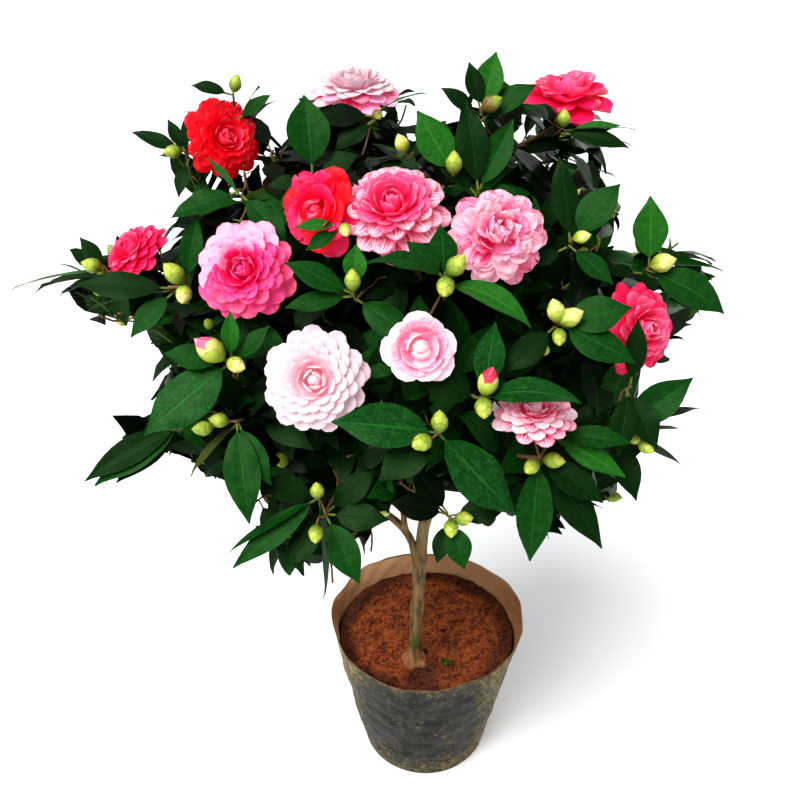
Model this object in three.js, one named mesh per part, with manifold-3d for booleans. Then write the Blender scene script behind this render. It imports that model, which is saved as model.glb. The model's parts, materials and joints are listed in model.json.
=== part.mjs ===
// A camellia shrub about 0.9 m tall in its soft nursery pot.
// Millimetres, +Z up. The origin is the centre of the pot's flat underside.
import * as THREE from 'three';
import { mergeVertices } from 'three/addons/utils/BufferGeometryUtils.js';
import Module from 'manifold-3d';

const wasm = await Module();
wasm.setup();

// Driving dimensions

const seat = 0.35; // clearance between solids that touch

const potSize = { rimRadius: 128, footRadius: 86, height: 214, wall: 2.5, floor: 3, segments: 44 };

const soilSize = { level: 187, dip: 4, dipRadius: 96 }; // the soil sinks a little towards the wall

const trunkSize = {
  foot: [-16, -54], // where the stem stands on the soil, off the pot's centre
  flareRadius: 17.5,
  flareHeight: 26,
  radius: 8.6,
  forkRadius: 6.2,
  forkHeight: 476,
};

const limbSides = 8;
const limbStepLength = 28;

// Each limb tapers from the first radius to the second along a smooth curve through its points.
const limbTable = [
  { name: 'left_stem', radii: [5.6, 4.0], path: [[-13, -54, 350], [-29, -54, 402], [-75, -54, 446], [-150, -80, 500]] },
  { name: 'left_bough', radii: [3.6, 3.0], path: [[-29, -54, 402], [-40, -60, 470], [-96, -44, 560], [-236, -44, 690]] },
  { name: 'front_bough', radii: [4.4, 3.4], path: [[7, -54, 466], [-6, -84, 520], [-24, -160, 600]] },
  { name: 'right_bough', radii: [4.6, 3.6], path: [[7, -54, 466], [40, -58, 500], [110, -70, 560]] },
  { name: 'leader', radii: [5.0, 4.0], path: [[8, -54, 470], [-8, -30, 600], [-22, -28, 760]] },
  { name: 'top_left_bough', radii: [3.4, 2.8], path: [[-8, -30, 600], [-58, -24, 660], [-140, 0, 760]] },
  { name: 'top_right_bough', radii: [3.4, 2.8], path: [[-8, -30, 600], [34, -32, 670], [80, -20, 770]] },
  { name: 'back_bough', radii: [4.4, 3.6], path: [[7, -54, 466], [10, 0, 540], [-6, 90, 640]] },
  { name: 'back_left_bough', radii: [3.0, 2.6], path: [[10, 0, 540], [-40, 30, 570], [-140, 80, 640]] },
  { name: 'back_right_bough', radii: [3.0, 2.6], path: [[10, 0, 540], [50, 30, 575], [130, 90, 650]] },
];

const massDetail = 3;
const massLumps = 0.085; // height of the lumps, as a share of the radius
const massGap = 0.5; // between neighbouring masses

// Centre and radii of each mass of foliage, before its neighbours trim it.
const massTable = [
  { name: 'foliage_top_left', centre: [-180, -6, 806], radii: [92, 92, 86] },
  { name: 'foliage_top_front', centre: [-42, -122, 796], radii: [98, 92, 88] },
  { name: 'foliage_top_back', centre: [-48, 74, 802], radii: [98, 98, 92] },
  { name: 'foliage_top_right', centre: [84, -4, 804], radii: [96, 100, 116] },
  { name: 'foliage_shoulder_right', centre: [118, -128, 752], radii: [92, 88, 92] },
  { name: 'foliage_left', centre: [-286, -50, 706], radii: [118, 80, 60] },
  { name: 'foliage_front_left', centre: [-178, -162, 666], radii: [104, 100, 96] },
  { name: 'foliage_front_centre', centre: [-30, -206, 650], radii: [100, 88, 100] },
  { name: 'foliage_front_right', centre: [114, -172, 614], radii: [98, 94, 84] },
  { name: 'foliage_right', centre: [202, -36, 694], radii: [94, 98, 82] },
  { name: 'foliage_back_right', centre: [118, 112, 680], radii: [102, 98, 104] },
  { name: 'foliage_back_centre', centre: [-24, 144, 662], radii: [92, 80, 106] },
  { name: 'foliage_back_left', centre: [-164, 104, 672], radii: [108, 96, 102] },
  { name: 'foliage_low_left', centre: [-210, -132, 556], radii: [122, 88, 64] },
  { name: 'foliage_low_front', centre: [-104, -152, 478], radii: [70, 70, 74] },
  { name: 'foliage_low_right', centre: [118, -124, 510], radii: [86, 84, 74] },
  { name: 'foliage_low_back_right', centre: [108, 62, 538], radii: [98, 86, 74] },
  { name: 'foliage_low_back_left', centre: [-136, 62, 532], radii: [104, 88, 76] },
];

// Solids

function solidFrom(geometry) {
  geometry.deleteAttribute('normal');
  geometry.deleteAttribute('uv');
  const merged = mergeVertices(geometry, 1e-4);
  const vertProperties = new Float32Array(merged.attributes.position.array);
  const triVerts = new Uint32Array(merged.index.array);
  return new wasm.Manifold(new wasm.Mesh({ numProp: 3, vertProperties, triVerts }));
}

function geometryFrom(solid) {
  const mesh = solid.getMesh();
  const geometry = new THREE.BufferGeometry();
  geometry.setAttribute('position', new THREE.BufferAttribute(mesh.vertProperties, 3));
  geometry.setIndex(new THREE.BufferAttribute(mesh.triVerts, 1));
  geometry.computeVertexNormals();
  return geometry;
}

// A lathe turns about Y, so its profile of [radius, height] is stood up on +Z.
function latheSolid(profile) {
  const points = profile.map(([radius, height]) => new THREE.Vector2(radius, height));
  return new THREE.LatheGeometry(points, potSize.segments).rotateX(Math.PI / 2);
}

// A cylinder bent along a curve, with its radius following the function radiusAt(t).
// grow makes it larger all round and at both ends, to cut the clearance in what leaves it.
function limbGeometry(curve, radiusAt, sides, steps, grow = 0) {
  const geometry = new THREE.CylinderGeometry(1, 1, 1, sides, steps);
  const frames = curve.computeFrenetFrames(steps, false);
  const position = geometry.attributes.position;
  const point = new THREE.Vector3();
  for (let i = 0; i < position.count; i += 1) {
    const t = THREE.MathUtils.clamp(position.getY(i) + 0.5, 0, 1);
    const step = Math.round(t * steps);
    const radius = radiusAt(t) + grow;
    point.copy(curve.getPointAt(t));
    if (step === 0) point.addScaledVector(frames.tangents[0], -grow);
    if (step === steps) point.addScaledVector(frames.tangents[steps], grow);
    point.addScaledVector(frames.normals[step], position.getZ(i) * radius);
    point.addScaledVector(frames.binormals[step], position.getX(i) * radius);
    position.setXYZ(i, point.x, point.y, point.z);
  }
  return geometry;
}

// How far a mass swells or dips in a unit direction, so that no two masses are alike.
function lumpAt({ x, y, z }, seed) {
  const wave = Math.sin(4.1 * x + 2.3 * z + seed) + Math.sin(5.2 * y - 3.1 * x + 2.7 * seed)
    + 0.8 * Math.sin(6.3 * z + 3.9 * y + 1.9 * seed);
  return 1 + (massLumps * wave) / 2;
}

function massGeometry({ centre, radii, seed }) {
  const geometry = new THREE.IcosahedronGeometry(1, massDetail);
  const position = geometry.attributes.position;
  const direction = new THREE.Vector3();
  for (let i = 0; i < position.count; i += 1) {
    direction.fromBufferAttribute(position, i).normalize();
    direction.multiplyScalar(lumpAt(direction, seed));
    position.setXYZ(
      i,
      centre[0] + radii[0] * direction.x,
      centre[1] + radii[1] * direction.y,
      centre[2] + radii[2] * direction.z,
    );
  }
  return geometry;
}

// The distance from a mass's centre to its surface along a unit direction.
function reachOf(mass, direction) {
  const [a, b, c] = mass.radii;
  return 1 / Math.hypot(direction.x / a, direction.y / b, direction.z / c);
}

// The plane where two masses meet: its unit direction, and its distance from the first mass's centre.
function meetingPlane(mass, other) {
  const direction = new THREE.Vector3(...other.centre).sub(new THREE.Vector3(...mass.centre));
  const distance = direction.length();
  direction.normalize();
  const reach = reachOf(mass, direction);
  const otherReach = reachOf(other, direction);
  if (distance > (reach + otherReach) * (1 + massLumps * 1.5)) return null;
  return { direction, offset: (distance * reach) / (reach + otherReach) - massGap / 2 };
}

// A large block that covers everything beyond that plane.
function blockBeyond(mass, { direction, offset }) {
  const side = 900;
  const block = new THREE.BoxGeometry(side, side, side);
  block.applyQuaternion(new THREE.Quaternion().setFromUnitVectors(new THREE.Vector3(0, 0, 1), direction));
  const middle = new THREE.Vector3(...mass.centre).addScaledVector(direction, offset + side / 2);
  return block.translate(middle.x, middle.y, middle.z);
}

function isInMass(mass, point) {
  const fromCentre = point.clone().sub(new THREE.Vector3(...mass.centre));
  const scaled = fromCentre.clone().divide(new THREE.Vector3(...mass.radii));
  if (scaled.length() > lumpAt(scaled.clone().normalize(), mass.seed)) return false;
  return mass.planes.every(({ direction, offset }) => fromCentre.dot(direction) < offset);
}

function trimmedMass(mass) {
  let solid = solidFrom(massGeometry(mass));
  for (const plane of mass.planes) solid = solid.subtract(solidFrom(blockBeyond(mass, plane)));
  return solid;
}

// The same mass, a little larger about its own centre, to cut its clearance in what enters it.
function grownMass({ solid, centre }) {
  const grow = 1.006;
  const [x, y, z] = centre;
  const geometry = geometryFrom(solid);
  geometry.translate(-x, -y, -z).scale(grow, grow, grow).translate(x, y, z);
  return solidFrom(geometry);
}

// Materials

const finish = {
  potPlastic: new THREE.MeshStandardMaterial({ color: 0x2b2c2c, roughness: 0.6, metalness: 0 }),
  soilEarth: new THREE.MeshStandardMaterial({ color: 0x7a3d20, roughness: 0.95, metalness: 0 }),
  bark: new THREE.MeshStandardMaterial({ color: 0x8a7358, roughness: 0.85, metalness: 0 }),
  leafGreen: new THREE.MeshStandardMaterial({ color: 0x17401c, roughness: 0.4, metalness: 0 }),
};

// Assembly

const group = new THREE.Group();

function addPart(name, geometry, material) {
  const mesh = new THREE.Mesh(geometry, material.clone());
  mesh.name = name;
  group.add(mesh);
}

// Pot: a plain tapered cup with a flat floor.
const wallRadiusAt = (height) => {
  const { rimRadius, footRadius } = potSize;
  return footRadius + ((rimRadius - footRadius) * height) / potSize.height;
};
const innerRadiusAt = (height) => wallRadiusAt(height) - potSize.wall;
addPart('pot', latheSolid([
  [0, 0],
  [potSize.footRadius, 0],
  [potSize.rimRadius, potSize.height],
  [innerRadiusAt(potSize.height), potSize.height],
  [innerRadiusAt(potSize.floor), potSize.floor],
  [0, potSize.floor],
]), finish.potPlastic);

// Soil: fills the pot to its level, flat in the middle and dipping towards the wall.
const soilFloor = potSize.floor + seat;
const soilEdge = soilSize.level - soilSize.dip;
addPart('soil', latheSolid([
  [0, soilFloor],
  [innerRadiusAt(soilFloor) - seat, soilFloor],
  [innerRadiusAt(soilEdge) - seat, soilEdge],
  [soilSize.dipRadius, soilSize.level],
  [0, soilSize.level],
]), finish.soilEarth);

// Trunk: a flat cut on the soil, a short root flare, then a slow taper with a slight lean to the fork.
const [footX, footY] = trunkSize.foot;
const trunkFoot = soilSize.level + seat;
const trunkCurve = new THREE.CatmullRomCurve3([
  new THREE.Vector3(footX, footY, trunkFoot),
  new THREE.Vector3(footX, footY, trunkFoot + trunkSize.flareHeight),
  new THREE.Vector3(footX + 5, footY, trunkFoot + 170),
  new THREE.Vector3(footX + 10, footY, trunkFoot + 232),
  new THREE.Vector3(footX + 24, footY, trunkSize.forkHeight),
]);
const trunkRadiusAt = (t) => {
  const { flareRadius, flareHeight, radius, forkRadius, forkHeight } = trunkSize;
  const taper = THREE.MathUtils.lerp(radius, forkRadius, t);
  const flare = Math.exp((-3 * t * (forkHeight - trunkFoot)) / flareHeight);
  return taper + (flareRadius - radius) * flare;
};
const trunkSteps = 18;
const trunkShape = (grow) => limbGeometry(trunkCurve, trunkRadiusAt, 12, trunkSteps, grow);

const masses = massTable.map((mass, index) => ({ ...mass, seed: index * 1.7 }));
for (const mass of masses) {
  mass.planes = masses.filter((other) => other !== mass)
    .map((other) => meetingPlane(mass, other)).filter((plane) => plane !== null);
  mass.solid = trimmedMass(mass);
  mass.cutter = grownMass(mass);
}
const massCutters = masses.map(({ cutter }) => cutter);

const trunk = massCutters.reduce((solid, cutter) => solid.subtract(cutter), solidFrom(trunkShape(0)));
addPart('trunk', geometryFrom(trunk), finish.bark);

// The stretch of a limb's curve that lies outside every mass, and a little more so that it is cut flush.
function openStretchOf(curve) {
  const steps = Math.round(curve.getLength() / 5);
  let share = 1;
  for (let step = steps; step >= 0; step -= 1) {
    const point = curve.getPointAt(step / steps);
    if (masses.some((mass) => isInMass(mass, point))) share = Math.min(1, (step + 0.8) / steps);
  }
  const count = 12;
  return new THREE.CatmullRomCurve3(
    Array.from({ length: count + 1 }, (_, index) => curve.getPointAt((share * index) / count)),
  );
}

// Limbs: each stops just clear of the limb it leaves and of the mass that it enters.
const limbCutters = [solidFrom(trunkShape(seat))];
for (const { name, radii, path } of limbTable) {
  const curve = openStretchOf(new THREE.CatmullRomCurve3(path.map((point) => new THREE.Vector3(...point))));
  const steps = Math.round(curve.getLength() / limbStepLength) + 1;
  const radiusAt = (t) => THREE.MathUtils.lerp(radii[0], radii[1], t);
  let solid = solidFrom(limbGeometry(curve, radiusAt, limbSides, steps));
  for (const cutter of [...limbCutters, ...massCutters]) solid = solid.subtract(cutter);
  limbCutters.push(solidFrom(limbGeometry(curve, radiusAt, limbSides, steps, seat)));
  addPart(name, geometryFrom(solid), finish.bark);
}

// Foliage
for (const { name, solid } of masses) addPart(name, geometryFrom(solid), finish.leafGreen);

export default group;
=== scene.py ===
import json
import math

import bpy
import numpy as np
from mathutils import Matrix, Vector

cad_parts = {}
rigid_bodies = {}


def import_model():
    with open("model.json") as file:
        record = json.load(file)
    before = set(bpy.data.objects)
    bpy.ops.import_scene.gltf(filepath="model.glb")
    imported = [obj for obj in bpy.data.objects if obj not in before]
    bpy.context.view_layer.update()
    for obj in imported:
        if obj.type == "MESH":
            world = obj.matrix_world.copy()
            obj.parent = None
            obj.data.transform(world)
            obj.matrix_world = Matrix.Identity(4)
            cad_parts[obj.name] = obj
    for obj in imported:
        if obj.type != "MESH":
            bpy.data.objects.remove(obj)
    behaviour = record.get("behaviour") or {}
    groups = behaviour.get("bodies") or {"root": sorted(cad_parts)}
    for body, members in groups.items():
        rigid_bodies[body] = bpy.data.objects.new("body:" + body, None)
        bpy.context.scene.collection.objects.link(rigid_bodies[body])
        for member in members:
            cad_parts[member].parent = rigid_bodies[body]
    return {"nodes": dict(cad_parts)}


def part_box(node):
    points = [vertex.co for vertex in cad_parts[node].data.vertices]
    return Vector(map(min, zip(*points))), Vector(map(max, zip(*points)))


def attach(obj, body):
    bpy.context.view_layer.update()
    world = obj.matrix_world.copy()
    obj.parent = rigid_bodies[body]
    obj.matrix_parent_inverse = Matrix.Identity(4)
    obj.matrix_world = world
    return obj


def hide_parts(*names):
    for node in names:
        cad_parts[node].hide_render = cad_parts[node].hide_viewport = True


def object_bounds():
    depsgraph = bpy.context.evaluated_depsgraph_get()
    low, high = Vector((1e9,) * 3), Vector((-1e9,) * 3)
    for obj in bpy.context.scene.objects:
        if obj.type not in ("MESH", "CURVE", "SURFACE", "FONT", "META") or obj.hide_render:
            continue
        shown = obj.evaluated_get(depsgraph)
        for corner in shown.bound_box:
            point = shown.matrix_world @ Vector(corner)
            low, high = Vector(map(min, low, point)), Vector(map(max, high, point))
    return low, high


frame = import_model()
cadLow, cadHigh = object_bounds()

crownNodes = sorted(n for n in frame["nodes"] if n.startswith("foliage_"))
crownBoxes = {n: [np.array(corner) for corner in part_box(n)] for n in crownNodes}
crownLow = np.min([low for low, high in crownBoxes.values()], axis=0)
crownHigh = np.max([high for low, high in crownBoxes.values()], axis=0)
crownMid = (crownLow + crownHigh) / 2
crownHalf = (crownHigh - crownLow) / 2

right = np.array([1.0, 0.0, 0.0])
skyward = np.array([0.0, 0.0, 1.0])
goldenTurn = math.radians(137.5)


# small vector tools

def unit(vector):
    vector = np.asarray(vector, float)
    return vector / max(np.linalg.norm(vector), 1e-9)


def squareTo(vector, axis):    # the part of vector at right angles to axis, unit long
    vector = np.asarray(vector, float)
    return unit(vector - axis * np.dot(vector, axis))


def easeIn(low, high, x):
    t = np.clip((x - low) / (high - low), 0, 1)
    return t * t * (3 - 2 * t)


def facing(turn, lift):        # degrees: turn 0 is the front, lift is above level
    turn, lift = math.radians(turn), math.radians(lift)
    return np.array([math.sin(turn) * math.cos(lift), -math.cos(turn) * math.cos(lift), math.sin(lift)])


def onCrown(turn, lift, reach):
    return crownMid + crownHalf * facing(turn, lift) * reach


def units(vectors):            # many vectors at once, each unit long
    return vectors / np.maximum(np.linalg.norm(vectors, axis=-1, keepdims=True), 1e-12)


def evenTurns(count):
    return np.arange(count) / count * 2 * math.pi


def circle(angles):
    return np.stack([np.cos(angles), np.sin(angles)], 1)


def between(pair, share):
    return pair[0] * (1 - share) + pair[1] * share


def rowDots(first, second):
    return np.einsum("ij,ij->i", first, second)


def stepsOf(line):
    return np.linalg.norm(np.diff(line, axis=0), axis=1)


def walkedOn(line):            # how far along the line each of its spots is
    return np.concatenate([[0], np.cumsum(stepsOf(line))])


def turned(vectors, axis, angle):
    vectors = np.asarray(vectors, float)
    along = np.outer(vectors @ axis, axis) if vectors.ndim > 1 else axis * (vectors @ axis)
    return along + (vectors - along) * math.cos(angle) + np.cross(axis, vectors) * math.sin(angle)


def ripple(points, size, seed, layers=3):    # cheap smooth noise about 0, waves of that size in metres
    dice = np.random.default_rng(seed)
    total = np.zeros(len(points))
    for layer in range(layers):
        for _ in range(4):
            way = unit(dice.normal(size=3)) * 2 * math.pi / size * 1.9 ** layer
            total += np.sin(points @ way + dice.uniform(0, 6.3)) / 1.9 ** layer
    return total / 4


# objects, and meshes gathered face by face

def addObject(name, data):
    made = bpy.data.objects.new(name, data)
    bpy.context.scene.collection.objects.link(made)
    return made


class Pile:
    def __init__(self):
        self.points, self.faces, self.maps, self.rims = [], [], [], []
        self.count = 0

    def add(self, points, faces, maps, rims=None):
        self.points.append(points)
        self.faces.append(np.where(faces < 0, -1, faces + self.count))
        self.maps.append(maps)
        self.rims.append(np.zeros(len(points), bool) if rims is None else rims)
        self.count += len(points)

    def piece(self, name, material, slot, replaced=()):
        points = np.concatenate(self.points)
        faces = np.concatenate(self.faces)
        used = faces >= 0
        loops = used.sum(1)
        mesh = bpy.data.meshes.new(name)
        mesh.vertices.add(len(points))
        mesh.vertices.foreach_set("co", points.astype(np.float32).ravel())
        mesh.loops.add(int(loops.sum()))
        mesh.loops.foreach_set("vertex_index", faces[used].astype(np.int32))
        mesh.polygons.add(len(faces))
        starts = np.concatenate(([0], np.cumsum(loops)[:-1]))
        mesh.polygons.foreach_set("loop_start", starts.astype(np.int32))
        mesh.polygons.foreach_set("use_smooth", np.ones(len(faces), bool))
        layer = mesh.uv_layers.new(name="OFBake")
        layer.data.foreach_set("uv", np.concatenate(self.maps)[used].astype(np.float32).ravel())
        mesh.update(calc_edges=True)
        ends = np.empty(len(mesh.edges) * 2, np.int32)
        mesh.edges.foreach_get("vertices", ends)
        sharp = np.concatenate(self.rims)[ends.reshape(-1, 2)].all(1)
        mesh.attributes.new("sharp_edge", "BOOLEAN", "EDGE").data.foreach_set("value", sharp)
        mesh.materials.append(material)
        made = addObject(name, mesh)
        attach(made, "root")
        if replaced:
            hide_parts(*replaced)
        print(f"{name}: {int((loops - 2).sum())} triangles")


sheetPlans = {}


def sheetPlan(rows, columns):    # faces of a thin shell whose two sides share their rim
    if (rows, columns) not in sheetPlans:
        grid = np.arange(rows * columns).reshape(rows, columns)
        rim = np.ones((rows, columns), bool)
        rim[1:-1, 1:-1] = False
        insides = (rows - 2) * (columns - 2)
        under = grid.copy()
        under[1:-1, 1:-1] = rows * columns + np.arange(insides).reshape(rows - 2, columns - 2)

        def triangles(of, turnedOver):    # both sides share one diagonal, so neither pokes through
            a, b, c, d = of[:-1, :-1], of[:-1, 1:], of[1:, 1:], of[1:, :-1]
            corner = np.zeros(a.shape + (1,), bool)    # two corners are cut the other way, clear of the rim
            corner[0, -1] = corner[-1, 0] = True
            first = np.where(corner, np.stack([a, b, d], -1), np.stack([a, b, c], -1))
            second = np.where(corner, np.stack([b, c, d], -1), np.stack([a, c, d], -1))
            both = np.concatenate([first.reshape(-1, 3), second.reshape(-1, 3)])
            both = both[:, ::-1] if turnedOver else both
            return np.insert(both, 3, -1, 1)

        sheetPlans[rows, columns] = dict(
            top=triangles(grid, False), under=triangles(under, True), underMap=triangles(grid, True),
            rims=np.concatenate([rim.ravel(), np.zeros(insides, bool)]))
    return sheetPlans[rows, columns]


def cell(local, column, row, columns, rows=2, margin=0.02):    # where a local 0..1 map lies in its cell
    inside = margin + local * (1 - 2 * margin)
    return np.stack([(column + inside[..., 0]) / columns, (row + inside[..., 1]) / rows], -1)


sheetThick = dict(leaf=0.0004, petal=0.0005, cup=0.0007)


def addSheet(pile, grid, thick, v, tint, tints):    # a thin shell under the grid, in its tint's column
    column, columns = list(tints).index(tint), len(tints)
    rows, across = grid.shape[:2]
    plan = sheetPlan(rows, across)
    along = np.gradient(grid, axis=0)
    over = np.gradient(grid, axis=1)
    thick = np.broadcast_to(np.asarray(thick, float).reshape(-1, 1, 1), (rows, across, 1))
    under = (grid - units(np.cross(over, along)) * thick)[1:-1, 1:-1]
    points = np.concatenate([grid.reshape(-1, 3), under.reshape(-1, 3)])
    u = np.linspace(0, 1, across)
    local = np.stack(np.broadcast_arrays(u[None, :], np.asarray(v)[:, None]), -1).reshape(-1, 2)
    top = cell(local[plan["top"]], column, 1, columns)
    low = cell(local[plan["underMap"]], column, 0, columns)
    pile.add(points, np.concatenate([plan["top"], plan["under"]]), np.concatenate([top, low]), plan["rims"])


def lathe(rings, firstMiddle, lastMiddle):    # rings of points, closed by a fan at either end
    turns = len(rings[0])
    ring = np.arange(turns)
    after = (ring + 1) % turns
    middle = ring * 0 + len(rings) * turns
    lows = np.arange(len(rings)) * turns
    faces = [np.stack([low + ring, low + after, high + after, high + ring], 1)
             for low, high in zip(lows, lows[1:])]
    faces += [np.stack([after, ring, middle, ring * 0 - 1], 1),
              np.stack([lows[-1] + ring, lows[-1] + after, middle + 1, ring * 0 - 1], 1)]
    return np.concatenate([*rings, [firstMiddle, lastMiddle]]), np.concatenate(faces)


def addTube(pile, path, radii, column, columns, sides=6, relief=None):    # a closed tube with domed ends
    path = np.asarray(path, float)
    heading = units(np.gradient(path, axis=0))
    side = squareTo(right if abs(heading[0][0]) < 0.9 else skyward, heading[0])
    rings = []
    angles = evenTurns(sides)
    for k in range(len(path)):
        side = squareTo(side, heading[k])
        other = np.cross(heading[k], side)
        ring = np.cos(angles)[:, None] * side + np.sin(angles)[:, None] * other
        radius = radii[k] if relief is None else radii[k] * relief(k, angles)[:, None]
        rings.append(path[k] + ring * radius)
    points, faces = lathe(rings, path[0] - heading[0] * radii[0] * 0.5,
                          path[-1] + heading[-1] * radii[-1] * 0.6)
    number = np.arange(len(points))
    maps = np.stack([np.abs(number % sides / sides * 2 - 1), number // sides % 2], 1)[np.maximum(faces, 0)]
    maps[faces[:, 3] < 0] = 0.5
    pile.add(points, faces, cell(maps, column, 0, columns, 1))


# materials, written as sums of sockets

class Wire:
    def __init__(self, paint, socket):
        self.paint, self.socket = paint, socket

    def sum(self, operation, *others):
        return self.paint.add("Math", dict(operation=operation), dict(enumerate([self, *others])))

    def __add__(self, other):
        return self.sum("ADD", other)

    def __sub__(self, other):
        return self.sum("SUBTRACT", other)

    def __mul__(self, other):
        return self.sum("MULTIPLY", other)

    def __truediv__(self, other):
        return self.sum("DIVIDE", other)

    __radd__ = __add__
    __rmul__ = __mul__

    def __rsub__(self, other):
        return self.paint.add("Math", dict(operation="SUBTRACT"), {0: other, 1: self})

    def __abs__(self):
        return self.sum("ABSOLUTE")

    def floor(self):
        return self.sum("FLOOR")

    def fract(self):
        return self.sum("FRACT")

    def atLeast(self, other):
        return self.sum("MAXIMUM", other)

    def step(self, low, high):    # 0 below low, 1 above high, smooth between
        return self.paint.add("MapRange", dict(interpolation_type="SMOOTHSTEP"),
                              {"Value": self, "From Min": low, "From Max": high})


class Paint:
    def __init__(self, name):
        self.material = bpy.data.materials.new(name)
        self.material.use_nodes = True
        self.tree = self.material.node_tree
        self.shader = self.tree.nodes["Principled BSDF"]

    def add(self, kind, settings=None, inputs=None, out=None):
        node = self.tree.nodes.new("ShaderNode" + kind)
        for key, value in (settings or {}).items():
            if key == "stops":
                stops = node.color_ramp.elements
                while len(stops) < len(value):
                    stops.new(1)
                for stop, (place, colour) in zip(stops, value):
                    stop.position = place
                    stop.color = (*colour, 1)
            elif key == "steps":
                node.color_ramp.interpolation = value
            else:
                setattr(node, key, value)
        for key, value in (inputs or {}).items():
            self.feed(self.find(node.inputs, key), value)
        outputs = [s for s in node.outputs if s.enabled]
        return Wire(self, outputs[0] if out is None else self.find(node.outputs, out))

    def find(self, sockets, key):
        if isinstance(key, int):
            return sockets[key]
        return next(s for s in sockets if key in (s.identifier, s.name))

    def feed(self, socket, value):
        if isinstance(value, Wire):
            self.tree.links.new(value.socket, socket)
        elif isinstance(value, tuple) and len(value) == 3 and socket.type == "RGBA":
            socket.default_value = (*value, 1)
        else:
            socket.default_value = value

    def mix(self, share, *pair):    # two colours by share, each linked or display values
        first, second = (tone(*colour) if isinstance(colour, tuple) else colour for colour in pair)
        return self.add("Mix", dict(data_type="RGBA"),
                        {"Factor_Float": share, "A_Color": first, "B_Color": second}, "Result_Color")

    def vector(self, x, y, z=0.0):
        return self.add("CombineXYZ", None, {"X": x, "Y": y, "Z": z})

    def noise(self, place, scale, detail=2.0, rough=0.5):
        return self.add("TexNoise", None,
                        {"Vector": place, "Scale": scale, "Detail": detail, "Roughness": rough}, "Fac")

    def dealt(self, column, tints):    # for each sort of tone, its plain colour in every column of the map
        for tones in zip(*tints.values()):
            stops = [(k / len(tones), tone(*np.broadcast_to(rgb, 3))) for k, rgb in enumerate(tones)]
            yield self.add("ValToRGB", dict(stops=stops, steps="CONSTANT"),
                           {"Fac": (column + 0.5) / len(tones)}, "Color")

    def parts(self, place, axes="XYZ"):
        return [self.add("SeparateXYZ", None, {0: place}, axis) for axis in axes]

    def cells(self, columns, rows=2):    # column, local u, row, local v of the shared map
        x, y = self.parts(self.add("UVMap", dict(uv_map="OFBake")), "XY")
        x, y = x * columns, y * rows
        return x.floor(), x.fract(), y.floor(), y.fract()

    def where(self):
        return self.add("TexCoord", None, None, "Object")

    def span(self, x, y):    # how far two numbers taken as sides reach
        return self.add("VectorMath", dict(operation="LENGTH"), {0: self.vector(x, y)}, "Value")

    def finish(self, colour, rough, height=None, strength=0.5, distance=0.001, **fixed):
        self.feed(self.shader.inputs["Base Color"], colour)
        self.feed(self.shader.inputs["Roughness"], rough)
        if height is not None:
            relief = {"Height": height, "Strength": strength, "Distance": distance}
            self.feed(self.shader.inputs["Normal"], self.add("Bump", None, relief))
        for key, value in fixed.items():
            self.feed(self.shader.inputs[key.replace("_", " ")], value)
        return self.material


def tone(red, green, blue):    # display colour 0..255 to the scene's own scale
    return tuple(c / 255 / 12.92 if c < 10.3 else ((c / 255 + 0.055) / 1.055) ** 2.4
                 for c in (red, green, blue))


# camera, floor and light

view = dict(place=(-0.0354, -0.884, 1.081), down=31.0, lens=40.5, sensor=36.0,
            sunTurn=-38, sunLift=58, sunPower=2.5, sunSpread=38, boxPlace=(-1.2, -1.4, 2.0), boxSize=0.8,
            boxPower=14, backPlace=(1.0, 1.4, 1.5), backPower=9,
            sky=(0.97, 0.98, 1.0), skyPower=0.47, floorTone=tone(248, 248, 248), floorRough=0.9,
            floorSize=40)


def addLight(name, place, size, power):
    lamp = bpy.data.lights.new(name, "AREA")
    lamp.size, lamp.energy = size, power
    made = addObject(name, lamp)
    made.location = place
    away = np.array(place) - crownMid
    tilt = math.atan2(math.hypot(away[0], away[1]), away[2])
    made.rotation_euler = (tilt, 0, math.atan2(away[0], -away[1]))


def setTheScene():
    scene = bpy.context.scene
    lens = bpy.data.cameras.new("camera")
    lens.lens, lens.sensor_width = view["lens"], view["sensor"]
    scene.camera = addObject("camera", lens)
    scene.camera.location = view["place"]
    scene.camera.rotation_euler = (math.radians(90 - view["down"]), 0, 0)
    addLight("softBox", view["boxPlace"], view["boxSize"], view["boxPower"])
    addLight("backBox", view["backPlace"], view["boxSize"], view["backPower"])
    sun = bpy.data.lights.new("overcastSun", "SUN")
    sun.energy, sun.angle = view["sunPower"], math.radians(view["sunSpread"])
    lamp = addObject("overcastSun", sun)
    lamp.rotation_euler = (math.radians(90 - view["sunLift"]), 0, math.radians(view["sunTurn"]))
    world = bpy.data.worlds.new("studio")
    world.use_nodes = True
    sky = world.node_tree.nodes["Background"].inputs
    sky["Color"].default_value = (*view["sky"], 1)
    sky["Strength"].default_value = view["skyPower"]
    scene.world = world
    scene.view_settings.view_transform = "Standard"
    scene.view_settings.look = "Medium High Contrast"
    bpy.ops.mesh.primitive_plane_add(size=view["floorSize"], location=(0, 0, 0))
    floor = bpy.context.object
    floor.name = "floor"
    floor.data.materials.append(Paint("paperFloor").finish(view["floorTone"], view["floorRough"]))


setTheScene()
eye = np.array(view["place"])
down = math.radians(view["down"])
sightUp = np.array([0.0, math.sin(down), math.cos(down)])
sightOut = np.array([0.0, -math.cos(down), math.sin(down)])


def clockWay(hour, lean=0.0):    # a clock hand seen from the front and a little above
    angle = hour / 12 * 2 * math.pi
    hand = math.sin(angle) * right + math.cos(angle) * sightUp
    return unit(hand * math.cos(lean) + sightOut * math.sin(lean))


print("camera, lights and floor are set")


# the pot: a soft film pot with dried mud on it

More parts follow.
